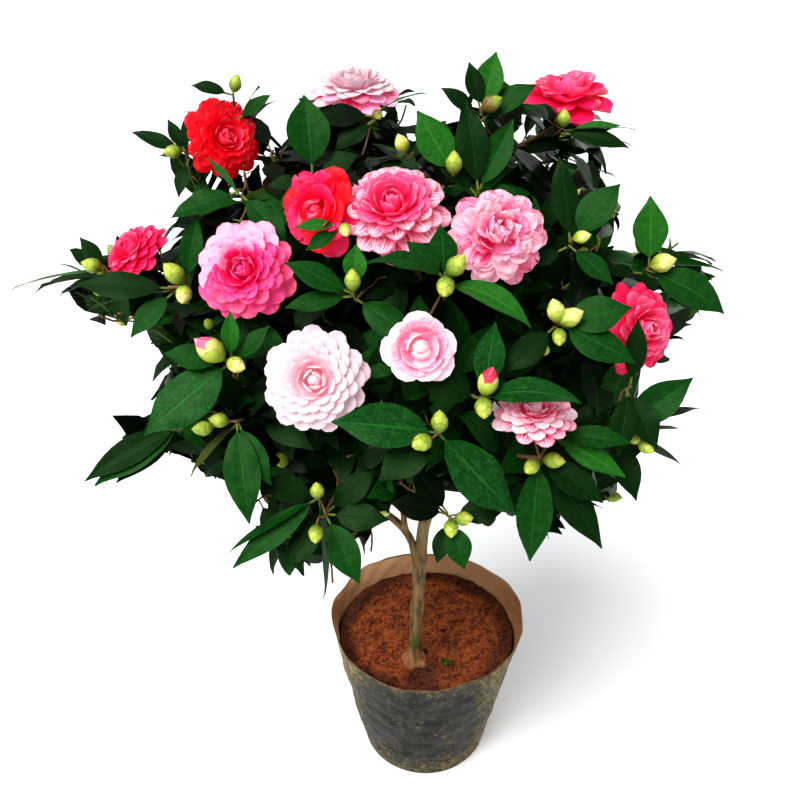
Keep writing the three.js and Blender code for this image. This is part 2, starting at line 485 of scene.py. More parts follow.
pot = dict(wall=0.0013, foot=0.086, rim=0.128, height=0.214, floor=0.003, turns=168, rows=46,
           dent=0.0022, crease=0.0011, lipBand=0.012, lipWave=0.0022, lip=0.0022)
soil = dict(level=0.187, underside=0.0035, fromWall=0.0065, dip=0.004, dipReach=0.096, turns=150, rings=44,
            crumbs=620, crumbSize=(0.0016, 0.0048), clods=60, clodSize=(0.0055, 0.0105), bareMiddle=0.03,
            bareEdge=0.006, raised=0.18)


def potRadius(height):
    return pot["foot"] + (pot["rim"] - pot["foot"]) * height / pot["height"]


def potSurface(turns, height, inside):
    radius = potRadius(height)
    flat = circle(turns)
    spot = np.concatenate([flat * radius, np.full((len(turns), 1), height)], 1)
    dents = ripple(spot * [1, 1, 1.6], 0.075, 5) * pot["dent"]
    # long slanting wrinkles, most on the left
    leftness = easeIn(-0.2, 0.9, -np.cos(turns + 0.5))
    slant = np.sin(turns * 14 + height * 90 + 2 * np.sin(turns * 3)) * np.sin(height * 160 + turns * 5)
    wrinkles = slant * pot["crease"] * (0.25 + leftness)
    calm = easeIn(0, 0.02, height) * 0.85 + 0.15
    radius = radius + (dents + wrinkles) * calm - pot["dent"] * 0.6
    rimNear = easeIn(pot["height"] - pot["lipBand"], pot["height"], height)
    radius = radius + rimNear * (pot["lip"] * 0.4 + 0.0016 * np.sin(turns * 3 + 1)
                                 + 0.0008 * np.sin(turns * 7))
    lift = rimNear * pot["lipWave"] * (np.sin(turns * 2 + 0.6) + 0.5 * np.sin(turns * 5 + 2)) * 0.7
    if inside:
        radius = radius - pot["wall"]
    return np.concatenate([flat * radius[:, None], (height + lift)[:, None]], 1)


def buildPot():
    count = pot["turns"]
    turns = evenTurns(count)
    heights = np.linspace(0, 1, pot["rows"]) ** 0.94 * pot["height"]
    flat = np.concatenate([circle(turns), np.zeros((count, 1))], 1)
    rings = [flat * 0.03, flat * 0.07]
    rings += [potSurface(turns, height, False) for height in heights]
    rings += [potSurface(turns, height, True) for height in heights[::-1] if height > pot["floor"]]
    rings += [flat * away + [0, 0, pot["floor"]] for away in (0.07, 0.03)]
    points, faces = lathe(rings, [0, 0, 0], [0, 0, pot["floor"]])
    # one map: round the pot across, the outside on the lower half and the inside on the upper
    k = np.minimum(np.arange(len(points)) // count, len(rings) - 1)
    u = (np.arange(len(points)) % count) / count
    lip = pot["rows"] + 1
    spots = np.stack([u, np.interp(k, [0, lip, len(rings) - 1], [0, 0.5, 1])], 1)
    maps = spots[np.maximum(faces, 0)]
    seam = (maps[:, :, 0].max(1) - maps[:, :, 0].min(1)) > 0.5
    maps[seam, :, 0] = np.where(maps[seam, :, 0] < 0.5, 1.0, maps[seam, :, 0])
    pile = Pile()
    pile.add(points, faces, maps)
    return pile


def paintPot():
    paint = Paint("mudStainedFilm")
    place = paint.where()
    x, y, z = paint.parts(place)
    broad = paint.noise(place, 14, 3)
    fine = paint.noise(place, 150, 4, 0.65)
    grit = paint.noise(place, 480, 2)
    streak = paint.noise(paint.vector(x * 26, y * 26, z * 7), 3, 3)
    inside, = paint.parts(paint.add("UVMap", dict(uv_map="OFBake")), "Y")
    underLipLine = (1 - abs(inside - 0.508).step(0.003, 0.010)) * broad.step(0.35, 0.6)    # a darker, patchy line just under the lip, inside
    inside = inside.step(0.501, 0.506)
    high = z.step(0.165, 0.212)
    low = 1 - z.step(0.0, 0.06)
    edges = abs(x + 0.01).step(0.05, 0.11)
    dust = (high * 0.26 + low * 0.46 + edges * 0.62 + (broad - 0.5) * 0.5 + (fine - 0.5) * 1.1
            + (streak - 0.5) * 0.7 + (grit - 0.5) * 1.4 + 0.08)
    dust = dust.step(0.05, 0.9).atLeast(z.step(0.206, 0.2125) * 0.6)
    film = paint.mix(streak.step(0.35, 0.7), (12, 15, 13), (30, 33, 27))
    mud = paint.mix(fine.step(0.3, 0.7), (84, 76, 54), (158, 144, 108))
    clay = paint.mix(fine.step(0.4, 0.6), (96, 70, 44), (144, 110, 74))
    spatter = (broad * 0.6 + fine * 0.5 + low * 0.12).step(0.66, 0.76)
    inner = paint.mix(broad.step(0.3, 0.7) * 0.6 + fine * 0.4, (138, 88, 54), (214, 158, 112))
    inner = paint.mix(y.step(0.02, 0.10) * 0.75, inner, (244, 196, 148))    # palest on the far wall: painted light where light falls on the far inner wall
    colour = paint.mix(dust * (0.45 + edges * 0.25 + fine * 0.5), film, mud)
    colour = paint.mix(spatter * 0.5, colour, clay)
    colour = paint.mix(inside * (0.86 + fine * 0.14), colour, inner)
    colour = paint.mix(underLipLine * (0.35 + fine * 0.8), colour, (44, 36, 28))
    rough = 0.46 + dust.atLeast(inside) * 0.42
    height = fine * 0.6 + grit * 0.2 * dust + streak * 0.4
    return paint.finish(colour, rough, height, 0.5, 0.0012, Specular_IOR_Level=0.22)


buildPot().piece("film_pot", paintPot(), "pot_plastic", ["pot"])


# the soil, with crumbs and clods on it

def soilTop(flat):
    away = np.hypot(flat[:, 0], flat[:, 1])
    dish = soil["dip"] * (1 - np.clip(away / soil["dipReach"], 0, 1) ** 2)
    spot = np.concatenate([flat, np.zeros((len(flat), 1))], 1)
    lumps = ripple(spot, 0.05, 11) * 0.0017 + ripple(spot, 0.013, 12, 4) * 0.0011
    return soil["level"] - dish + lumps - 0.0008


def lump(dice, centre, size):    # a rough clod, twenty faces
    golden = (1 + 5 ** 0.5) / 2
    corners = np.array([(-1, golden, 0), (1, golden, 0), (-1, -golden, 0), (1, -golden, 0),
                        (0, -1, golden), (0, 1, golden), (0, -1, -golden), (0, 1, -golden),
                        (golden, 0, -1), (golden, 0, 1), (-golden, 0, -1), (-golden, 0, 1)]) / 1.9
    faces = np.array([(0, 11, 5), (0, 5, 1), (0, 1, 7), (0, 7, 10), (0, 10, 11), (1, 5, 9), (5, 11, 4),
                      (11, 10, 2), (10, 7, 6), (7, 1, 8), (3, 9, 4), (3, 4, 2), (3, 2, 6), (3, 6, 8),
                      (3, 8, 9), (4, 9, 5), (2, 4, 11), (6, 2, 10), (8, 6, 7), (9, 8, 1)])
    shape = corners * dice.uniform(0.65, 1.25, (12, 1)) * dice.uniform(0.7, 1.2, 3)
    shape = turned(shape, unit(dice.normal(size=3)), dice.uniform(0, 6))
    return centre + shape * size / 2, np.insert(faces, 3, -1, 1)


def soilMap(points, faces):    # seen from above
    return (points[:, :2] / 0.3 + 0.5)[np.maximum(faces, 0)]


def buildSoil():
    pile = Pile()
    edge = potRadius(soil["level"]) - soil["fromWall"]
    foot = pot["foot"] - soil["fromWall"]
    flat = circle(evenTurns(soil["turns"]))
    radii = np.linspace(0.02, 1, soil["rings"]) ** 0.9 * edge
    rings = [np.insert(flat * r, 2, soil["underside"], 1) for r in (foot * 0.4, foot)]
    rings += [np.insert(flat * r, 2, soilTop(flat * r), 1) for r in radii[::-1]]
    points, faces = lathe(rings, [0, 0, soil["underside"]], [0, 0, soilTop(np.zeros((1, 2)))[0]])
    pile.add(points, faces, soilMap(points, faces))
    dice = np.random.default_rng(31)
    for k in range(soil["crumbs"] + soil["clods"]):
        big = k >= soil["crumbs"]
        away = math.sqrt(dice.uniform(0.0, 1)) * (edge - soil["bareEdge"])
        if big and away < soil["bareMiddle"]:
            continue
        way = dice.uniform(0, 2 * math.pi)
        spot = np.array([[math.cos(way) * away, math.sin(way) * away]])
        size = dice.uniform(*soil["clodSize" if big else "crumbSize"])
        shape, faces = lump(dice, np.array([*spot[0], soilTop(spot)[0] + size * soil["raised"]]), size)
        pile.add(shape, faces, soilMap(shape, faces))
    return pile


def paintSoil():
    paint = Paint("redSoil")
    place = paint.where()
    x, y = paint.parts(place, "XY")
    broad = paint.noise(place, 26, 3)
    middle = paint.noise(place, 95, 3, 0.65)
    fine = paint.noise(place, 210, 4, 0.7)
    grain = paint.noise(place, 700, 2)
    away = paint.span(x, y)
    # painted shade: darker soil in front of the trunk foot
    shadeAtFoot = 1 - paint.span(x + 0.004, y + 0.078).step(0.008, 0.036)
    # painted shade: a near-black spot where the hollow beside the trunk foot lies in shadow
    hollowShade = 1 - paint.span((x + 0.0025) * 1.6, y + 0.036).step(0.004, 0.0085)
    # real damp patches, darker towards the pot wall, and the painted shade at the trunk foot
    dampAndShade = away.step(0.084, 0.108) * 0.7 + (broad - 0.5) * 1.8 + (middle - 0.5) * 1.6 + shadeAtFoot * 0.75
    lumps = (fine * 0.55 + middle * 0.45).step(0.39, 0.61)
    dry = paint.mix(lumps, (84, 35, 10), (172, 88, 32))
    wetAndShaded = paint.mix(lumps, (34, 12, 3), (86, 38, 13))
    colour = paint.mix(dampAndShade.step(0.05, 0.8) * 0.85, dry, wetAndShaded)
    colour = paint.mix(hollowShade * 0.9, colour, (14, 6, 3))
    return paint.finish(colour, 0.95, fine * 0.8 + grain * 0.4 + middle * 0.5, 0.8, 0.0018)


buildSoil().piece("garden_soil", paintSoil(), "soil", ["soil"])
print("pot and soil are built")


# trunk and limbs: the routes that the frame's own limbs take, in metres

trunk = dict(flare=0.0175, flareHeight=0.026, radius=0.0086, forkRadius=0.0066,
             collars=[(0.356, 0.012, 0.0012), (0.468, 0.016, 0.0022)],    # height, reach, thicker by
             route=[(-0.016, -0.054, 0.176), (-0.016, -0.054, 0.213), (-0.011, -0.054, 0.357),
                    (-0.006, -0.054, 0.419), (0.008, -0.054, 0.482)])
limbs = {    # thickness at the start and the end, and the route
    "left_stem": (0.0047, 0.0036, [(-0.013, -0.054, 0.35), (-0.029, -0.054, 0.402),
        (-0.075, -0.054, 0.446), (-0.15, -0.08, 0.5)]),
    "left_bough": (0.0036, 0.003, [(-0.029, -0.054, 0.402), (-0.04, -0.06, 0.47),
        (-0.096, -0.044, 0.56), (-0.236, -0.044, 0.69)]),
    "front_bough": (0.0044, 0.0034, [(0.007, -0.054, 0.466), (-0.006, -0.084, 0.52), (-0.024, -0.16, 0.6)]),
    "right_bough": (0.0046, 0.0036, [(0.007, -0.054, 0.466), (0.04, -0.058, 0.5), (0.11, -0.07, 0.56)]),
    "leader": (0.005, 0.004, [(0.008, -0.054, 0.47), (-0.008, -0.03, 0.6), (-0.022, -0.028, 0.76)]),
    "top_left_bough": (0.0034, 0.0028, [(-0.008, -0.03, 0.6), (-0.058, -0.024, 0.66), (-0.14, 0.0, 0.76)]),
    "top_right_bough": (0.0034, 0.0028, [(-0.008, -0.03, 0.6), (0.034, -0.032, 0.67), (0.08, -0.02, 0.77)]),
    "back_bough": (0.0044, 0.0036, [(0.007, -0.054, 0.466), (0.01, 0.0, 0.54), (-0.006, 0.09, 0.64)]),
    "back_left_bough": (0.003, 0.0026, [(0.01, 0.0, 0.54), (-0.04, 0.03, 0.57), (-0.14, 0.08, 0.64)]),
    "back_right_bough": (0.003, 0.0026, [(0.01, 0.0, 0.54), (0.05, 0.03, 0.575), (0.13, 0.09, 0.65)]),
}


def through(points, count):    # a smooth line through the points, evenly walked
    points = np.asarray(points, float)
    ends = np.concatenate([[2 * points[0] - points[1]], points, [2 * points[-1] - points[-2]]])
    line = []
    for a, b, c, d in zip(ends, ends[1:], ends[2:], ends[3:]):
        t = np.linspace(0, 1, 24, endpoint=False)[:, None]
        line.append(0.5 * (2 * b + (c - a) * t + (2 * a - 5 * b + 4 * c - d) * t ** 2
                           + (3 * b - a - 3 * c + d) * t ** 3))
    line = np.concatenate([*line, points[-1:]])
    walked = walkedOn(line)
    even = np.linspace(0, walked[-1], count)
    return np.stack([np.interp(even, walked, line[:, k]) for k in range(3)], 1)


def lengthOf(line):
    return float(stepsOf(line).sum())


def barkRelief(line, radii, seed, strength=1.0):
    dice = np.random.default_rng(seed)
    knots = [[dice.uniform(*ends) for ends in ((0.05, 0.95), (0, 6.3), (0.12, 0.3))] for _ in range(7)]

    def relief(k, angles):
        spot = line[k] + np.stack([np.cos(angles), np.sin(angles), angles * 0], 1) * radii[k]
        long, short = ripple(spot * [1, 1, 0.35], 0.012, seed), ripple(spot, 0.006, seed + 1)
        rough = 1 + strength * (0.055 * long + 0.03 * short)
        share = k / (len(line) - 1)
        for place, way, size in knots:
            near = math.exp(-((share - place) * lengthOf(line) / 0.006) ** 2)
            rough = rough + strength * size * near * np.maximum(np.cos(angles - way), 0) ** 3
        return rough

    return relief


def buildBark():
    pile = Pile()
    line = through(trunk["route"], 130)
    above = line[:, 2] - soil["level"]
    radii = trunk["radius"] + (trunk["forkRadius"] - trunk["radius"]) * np.clip(above / above[-1], 0, 1)
    rootwards = np.exp(-np.maximum(above, 0) / (trunk["flareHeight"] * 0.42))
    radii = radii + (trunk["flare"] - trunk["radius"]) * rootwards * 0.92
    radii = radii + sum(np.exp(-((line[:, 2] - height) / reach) ** 2) * more
                        for height, reach, more in trunk["collars"])
    plain = barkRelief(line, radii, 41)

    def relief(k, angles):
        low = math.exp(-max(above[k], 0) / 0.016)
        buttress = low * (0.13 * np.sin(angles * 4 + 3.9) - 0.26 * np.maximum(-np.sin(angles), 0) ** 1.5)
        hollow = 0.32 * math.exp(-((above[k] - 0.006) / 0.009) ** 2)
        return plain(k, angles) + buttress - hollow * np.maximum(np.cos(angles + 0.9), 0) ** 4

    addTube(pile, line, radii, 0, 1, 22, relief)
    for k, (first, last, route) in enumerate(limbs.values()):
        line = through(route, max(14, int(lengthOf(np.array(route)) / 0.0045)))
        share = np.linspace(0, 1, len(line))
        walked = share * lengthOf(line)
        radii = first + (last - first) * share + first * 0.35 * np.exp(-walked / 0.010)
        addTube(pile, line, radii, 0, 1, 14, barkRelief(line, radii, 50 + k, 0.9))
    return pile


def paintBark():
    paint = Paint("greyTanBark")
    place = paint.where()
    x, y, z = paint.parts(place)
    long = paint.noise(paint.vector(x * 160, y * 160, z * 38), 1.0, 4, 0.6)
    patch = paint.noise(place, 38, 3)
    fine = paint.noise(place, 420, 3, 0.6)
    bark = paint.mix(long.step(0.32, 0.68), (76, 58, 30), (146, 114, 70))
    bark = paint.mix(patch.step(0.5, 0.72) * 0.5, bark, (150, 140, 92))
    beside = 1 - abs(x + 0.0165).step(0.002, 0.0075)
    moss = (1 - z.step(0.222, 0.262)) * z.step(0.208, 0.224) * beside + (patch - 0.5) * 0.6
    colour = paint.mix(moss.step(0.30, 0.85) * 0.95, bark, (70, 100, 24))
    foot = (1 - z.step(0.196, 0.222)) * 0.75
    muddy = paint.mix(long.step(0.35, 0.65), (150, 100, 62), (206, 158, 108))
    colour = paint.mix(foot, colour, muddy)
    colour = paint.mix(z.step(0.44, 0.60) * 0.45, colour, (86, 68, 50))
    return paint.finish(colour, 0.82, long * 0.8 + fine * 0.3, 0.7, 0.0016)


buildBark().piece("bark", paintBark(), "bark", ["trunk", *limbs])
print("trunk and limbs are built")


# leaves

leafTints = {         # body, paler parts, underside
    # deep: a near-black copy of the leaf, painted shade for leaves inside the crown and in its shadowed
    # places
    "deep": ((3, 13, 4), (6, 24, 8), (8, 20, 8)),
    "dark": ((8, 34, 8), (16, 54, 14), (24, 54, 20)),
    "leaf": ((12, 56, 14), (28, 92, 28), (52, 94, 36)),
    "fresh": ((30, 88, 26), (58, 124, 42), (92, 142, 50)),
    "young": ((116, 150, 44), (162, 186, 78), (150, 172, 78)),
    "speckled": ((13, 60, 20), (40, 106, 42), (84, 116, 60)),
    "olive": ((56, 66, 20), (98, 102, 40), (98, 98, 50)),
}
leafStalk = dict(length=0.009, radius=0.0009)
leafPiles = [Pile()]
leafLimit = 185000    # triangles in one piece of leaves
leafCount = {"leaves": 0, "triangles": 0}
leafCover = []        # points strewn over every leaf, to find where the crown is still thin


def leafWidth(t):    # share of half width, base to drip tip
    t = np.clip(t, 0, 1)
    return np.sin(math.pi * t ** 0.86) ** (0.72 + 0.62 * t)


def leafGrid(base, heading, face, length, width, shape):
    rows, across = shape["rows"], shape["across"]
    heading = unit(heading)
    up = squareTo(face, heading)
    side = np.cross(heading, up)
    stalk = shape.get("stalk", leafStalk["length"])
    t = np.concatenate([[-stalk / length, -stalk / length * 0.45], np.linspace(0, 1, rows - 2)])
    fine = np.linspace(t[0], 1, 60)
    angle = shape["start"] - shape["bend"] * np.clip(fine, 0, 1) - shape["hook"] * easeIn(0.78, 1.0, fine)
    step = (fine[1] - fine[0]) * length
    run, rise = (np.concatenate([[0], np.cumsum(part(angle[:-1]) * step)]) for part in (np.cos, np.sin))
    drift = shape["sickle"] * length * np.clip(fine, 0, 1) ** 2
    run, rise, drift = (np.interp(t, fine, values) for values in (run, rise, drift))
    angle = np.interp(t, fine, angle)
    mid = base + run[:, None] * heading + rise[:, None] * up + drift[:, None] * side
    normal = np.cos(angle)[:, None] * up - np.sin(angle)[:, None] * heading
    twist = shape["twist"] * np.clip(t, 0, 1)
    sides = np.cos(twist)[:, None] * side + np.sin(twist)[:, None] * normal
    normals = np.cos(twist)[:, None] * normal - np.sin(twist)[:, None] * side
    half = np.where(t <= 0, leafStalk["radius"], leafWidth(t) * width / 2 + 0.00045)
    s = np.linspace(-1, 1, across)
    blade = (t > 0)[:, None]
    half, along = half[:, None], t[:, None]
    lateral = s * half * np.where(blade, math.cos(shape["vee"]), 1)
    wave = shape["wave"] * width * np.sin(along * shape["waves"] * 6.28 + shape["phase"] + 1.7 * np.sign(s))
    height = (np.abs(s) * half * math.sin(shape["vee"]) - shape["curl"] * half * s ** 2
              + wave * s ** 2 * easeIn(0, 0.3, along))
    grid = (mid[:, None] + lateral[..., None] * sides[:, None]
            + np.where(blade, height, 0)[..., None] * normals[:, None])
    thick = np.where(t <= 0.02, leafStalk["radius"] * 1.6, sheetThick["leaf"])
    return grid, thick, np.clip(t * 0.88 + 0.12, 0, 1)


def leafShape(dice, finish="plain", **given):
    rows, across = {"plain": (10, 5), "fine": (13, 7), "inner": (8, 3)}[finish]
    shape = dict(rows=rows, across=across, start=dice.uniform(-0.05, 0.25),
                 bend=dice.uniform(0.15, 0.75), hook=dice.uniform(0.1, 0.6), sickle=dice.normal(0, 0.035),
                 twist=dice.normal(0, 0.22), vee=dice.uniform(0.08, 0.34), curl=dice.uniform(0.0, 0.22),
                 wave=dice.uniform(0.01, 0.045), waves=dice.uniform(1.4, 2.6), phase=dice.uniform(0, 6.3))
    shape.update(given)
    return shape


def addLeaf(base, heading, face, length, width, tint, shape):
    grid, thick, v = leafGrid(base, heading, face, length, width, shape)
    if leafCount["triangles"] // leafLimit >= len(leafPiles):
        leafPiles.append(Pile())
    addSheet(leafPiles[-1], grid, thick, v, tint, leafTints)
    leafCount["leaves"] += 1
    leafCount["triangles"] += 4 * (grid.shape[0] - 1) * (grid.shape[1] - 1)
    dots = np.concatenate([grid[1:], (grid[1:] + grid[:-1]) / 2])
    leafCover.append(np.concatenate([dots, (dots[:, 1:] + dots[:, :-1]) / 2], 1).reshape(-1, 3))


def paintLeaf():
    paint = Paint("camelliaLeaf")
    column, u, row, v = paint.cells(len(leafTints))
    away = abs(u - 0.5) * 2
    blade = v.step(0.10, 0.14)
    body, pale, under = paint.dealt(column, leafTints)
    grain = paint.noise(paint.vector(u * 3 + column * 7, v * 6), 2.2, 3)
    midrib = 1 - away.step(0.015, 0.085)
    vein = (v * 8.5 - away * 1.35 + (grain - 0.5) * 0.5).fract() - 0.5
    vein = (1 - abs(vein).step(0.0, 0.10)) * away.step(0.02, 0.12) * (1 - away.step(0.72, 0.95))
    margin = away.step(0.9, 1.0)
    specks = paint.add("TexVoronoi", dict(feature="F1"),
                       {"Vector": paint.vector(u * 17 + column * 3, v * 38), "Scale": 1.0}, "Distance")
    speckle = (1 - specks.step(0.10, 0.22)) * paint.noise(paint.vector(u * 4, v * 9), 1.5, 2).step(0.38, 0.6)
    speckly = 1 - abs(column - list(leafTints).index("speckled")).step(0.4, 0.6) * 0.86
    mottle = paint.noise(paint.vector(u * 15 + column * 3, v * 32), 1.0, 3, 0.6)
    paler = grain.step(0.3, 0.75) * 0.35 + (mottle.step(0.40, 0.68) - 0.3) * (0.18 + speckly * 0.22)
    top = paint.mix(paler, body, pale)
    top = paint.mix(vein * 0.05 + margin * 0.12, top, pale)
    top = paint.mix(midrib * 0.6, top, pale)
    top = paint.mix(speckle * speckly * 0.6, top, (6, 34, 12))
    low = paint.mix(midrib * 0.55 + vein * 0.2, under, (150, 168, 92))
    colour = paint.mix(row.step(0.4, 0.6), low, top)
    colour = paint.mix(1 - blade, colour, (112, 122, 54))
    rough = 0.66 - row * 0.27 + grain * 0.12
    height = midrib * -0.5 - vein * 0.10 + grain * 0.5 + mottle * 0.4
    return paint.finish(colour, rough, height, 0.5, 0.001, Specular_IOR_Level=0.17,
                        Specular_Tint=(0.55, 0.92, 0.45))


# petals, scales and the blooms made of them

petalTints = {        # base, tip and stripe, then how streaky it is and how pale its edge is, partly the petal's own pale edge and partly a painted highlight on the rim
    "scarlet": ((230, 4, 28), (250, 14, 44), (200, 8, 20), 90, 20),
    "scarletHeart": ((232, 12, 52), (250, 66, 104), (210, 20, 40), 90, 110),
    "crimson": ((228, 6, 70), (250, 32, 106), (200, 14, 60), 110, 90),
    "crimsonHeart": ((232, 24, 92), (250, 106, 156), (214, 30, 80), 120, 190),
    "hot": ((230, 22, 100), (247, 76, 150), (214, 40, 104), 120, 130),
    "hotPale": ((238, 116, 168), (246, 194, 220), (236, 110, 160), 100, 150),
    "blush": ((218, 156, 169), (208, 184, 194), (250, 214, 220), 90, 110),
    "blushHeart": ((238, 172, 184), (246, 222, 228), (244, 170, 186), 80, 225),
    "striped": ((222, 22, 94), (248, 226, 237), (204, 16, 84), 225, 70),
    "stripedPink": ((232, 46, 116), (246, 170, 200), (204, 16, 84), 180, 170),
    "rose": ((236, 30, 96), (250, 98, 154), (200, 20, 66), 130, 150),
    "peony": ((244, 156, 188), (249, 220, 233), (208, 40, 90), 150, 200),
    "shell": ((246, 192, 214), (250, 220, 235), (246, 190, 204), 60, 235),
}
scaleTints = {        # base, tip, dry edge
    "green": ((106, 134, 32), (150, 172, 60), (92, 76, 34)),
    "lime": ((140, 162, 40), (186, 202, 78), (140, 116, 52)),
    "pale": ((182, 192, 74), (220, 224, 136), (186, 156, 86)),
    "brown": ((122, 96, 44), (142, 120, 60), (80, 56, 32)),
    "pinkTip": ((236, 190, 190), (226, 70, 130), (240, 214, 216)),
    "crimsonTip": ((222, 90, 110), (222, 12, 62), (236, 130, 150)),
}
petalPiles = {}
scalePile = Pile()


def tintAt(tints, share):
    return next(tint for upTo, tint in tints if share <= upTo)


def petalGrid(centre, axis, side, turn, reach, radius, depth, petal):
    # one patch of a bowl round the bloom's axis: reach is this petal's own radius, bowl 0 lies flat
    # as at the rim, and bowl 1 stands up round the heart
    other = np.cross(axis, side)
    bowl = petal["bowl"]
    t = np.sin(np.linspace(0, 1, petal["rows"]) * math.pi / 2) ** 1.1
    start = 0.05 * radius
    upright = np.sin(np.minimum(t / 0.6, 1) * math.pi / 2)
    out = start + (reach - start) * ((1 - bowl) * t ** 1.1 + bowl * upright)
    out = out * (1 - petal["close"] * t ** 2.5) + petal["curl"] * radius * easeIn(0.75, 1.0, t)
    rise = depth * ((1 - bowl) * (1 - (1 - t) ** 1.8) + bowl * t ** 1.4)
    rise = rise - petal["reflex"] * radius * easeIn(0.45, 1.0, t) * (reach / radius) ** 2
    half = petal["width"] * np.maximum(t, 0.03) ** 0.7 * np.sqrt(np.maximum(1 - t ** petal["blunt"], 0.0))
    half = (half + 0.0002)[:, None]
    s = np.linspace(-1, 1, petal["across"])
    notch = petal["notch"] * reach * (t ** 7)[:, None] * np.exp(-(s / 0.28) ** 2)
    hoop = np.maximum(out, petal["wrap"] * radius)[:, None]
    angle = np.clip(s * half / hoop, -1.6, 1.6)
    ruffle = petal["ruffle"] * radius * (t ** 3)[:, None] * np.sin(s * petal["waves"] + petal["phase"])
    forward = (out[:, None] - notch) - hoop * (1 - np.cos(angle)) + ruffle * bowl
    sideways = hoop * np.sin(angle)
    height = rise[:, None] + petal["cup"] * half * s ** 2 + ruffle
    way = math.cos(turn) * side + math.sin(turn) * other
    cross = -math.sin(turn) * side + math.cos(turn) * other
    return centre + forward[..., None] * way + sideways[..., None] * cross + height[..., None] * axis, t


bloomKinds = {
    # pairs run from the rim to the heart; bowl: from which share of the petals to which they begin to
    # stand up, and how far the last ones do
    "formal": dict(petals=74, dome=0.42, reflex=0.16, width=(0.34, 0.17), blunt=5.0, notch=0.05,
                   ruffle=0.012, cup=(0.05, 0.16), bowl=(0.50, 1.0, 0.66), wild=0.05, curl=0.02, heart=0.15),
    "full": dict(petals=68, dome=0.48, reflex=0.18, width=(0.36, 0.19), blunt=5.0, notch=0.08, ruffle=0.03,
                 cup=(0.06, 0.18), bowl=(0.45, 1.0, 0.66), wild=0.12, curl=0.03, heart=0.10),
    "peony": dict(petals=78, dome=0.54, reflex=0.20, width=(0.36, 0.22), blunt=5.0, notch=0.12, ruffle=0.08,
                  cup=(0.08, 0.28), bowl=(0.30, 1.0, 0.66), wild=0.34, curl=0.04, heart=0.12),
    "loose": dict(petals=28, dome=0.55, reflex=0.14, width=(0.56, 0.32), blunt=5.0, notch=0.12, ruffle=0.06,
                  cup=(0.12, 0.2), bowl=(0.40, 1.0, 0.75), wild=0.22, curl=0.03, heart=0.14),
    "half": dict(petals=20, dome=0.50, reflex=0.04, width=(0.64, 0.44), blunt=6.0, notch=0.02, ruffle=0.010,
                 cup=(0.05, 0.08), bowl=(0.15, 0.9, 0.80), wild=0.03, curl=0.02, heart=0.27),
}
cupScale = dict(rows=5, across=5, wrap=0.1, close=0, bowl=0.2, curl=0, reflex=0.0, blunt=4.0, notch=0,
                ruffle=0, waves=1, phase=0, cup=0.1)


def addBloom(colour, centre, way, size, kind, tints, dice, paleHour=None):
    # tints: (up to this share of the petals from the rim, tint) in order; a list deals them at random
    style = bloomKinds[kind]
    radius = size / 2
    axis = unit(way)
    side = turned(squareTo(right + 0.3 * skyward, axis), axis, dice.uniform(0, 6.3))
    pile = petalPiles.setdefault(colour, Pile())
    count = style["petals"]
    dome = style["dome"] * radius
    foot = centre - axis * dome * 0.62
    for k in range(count):
        share = (k + 0.3) / count
        inner = share ** 0.8
        reach = radius * (style["heart"] + (1 - style["heart"]) * (1 - share) ** 0.62)
        reach *= 1 + style["wild"] * dice.normal() * (0.12 + 0.3 * share)
        petal = dict(rows=8, across=7, wrap=0.16, close=easeIn(0.82, 0.98, share) * 0.5,
                     bowl=easeIn(*style["bowl"][:2], share) * style["bowl"][2],
                     curl=style["curl"] * (1 - share),
                     reflex=style["reflex"] * (1 - share) ** 1.5 + dice.normal() * 0.1 * style["wild"],
                     width=radius * between(style["width"], inner) * dice.uniform(0.93, 1.07),
                     blunt=style["blunt"], notch=style["notch"] * dice.uniform(0, 1.4),
                     ruffle=style["ruffle"] * dice.uniform(0.3, 1.3), waves=dice.uniform(2.5, 5.5),
                     phase=dice.uniform(0, 6.3), cup=between(style["cup"], inner))
        depth = dome * (1 - min(reach / radius, 1) ** 2) ** 0.8 + 0.10 * radius
        depth *= 1 + style["wild"] * dice.normal() * 0.3
        tint = tintAt(tints, share)
        if isinstance(tint, list):
            tint = tint[dice.integers(len(tint))]
        turn = k * goldenTurn + dice.normal() * style["wild"] * 0.5
        petalWay = math.cos(turn) * side + math.sin(turn) * np.cross(axis, side)
        if paleHour and share < 0.8 and np.dot(petalWay, clockWay(paleHour)) > 0.02 + 0.6 * share:
            tint = "hotPale"
        lean = unit(turned(axis, squareTo(side, axis), dice.normal() * style["wild"] * 0.35))
        grid, t = petalGrid(foot, lean, squareTo(side, lean), turn, max(reach, 0.05 * radius), radius, depth,
                            petal)
        addSheet(pile, grid, sheetThick["petal"], t, tint, petalTints)
    heart = tints[-1][1] if isinstance(tints[-1][1], str) else tints[-1][1][0]
    plump = style["heart"] * radius * 0.92
    addScales(pile, foot + axis * (dome * 1.06 - plump * 1.5), axis, plump * 1.75, 0.55, [(1.0, heart)],
              petalTints, 7)
    # the green cup under the bloom
    for k in range(7):
        grid, t = petalGrid(foot - axis * radius * 0.16, axis, side, k * goldenTurn,
                            radius * (0.36 - 0.02 * k), radius, radius * 0.20,
                            dict(cupScale, width=radius * 0.17))
        addSheet(scalePile, grid, sheetThick["cup"], t, "lime", scaleTints)
    return foot - axis * radius * 0.15


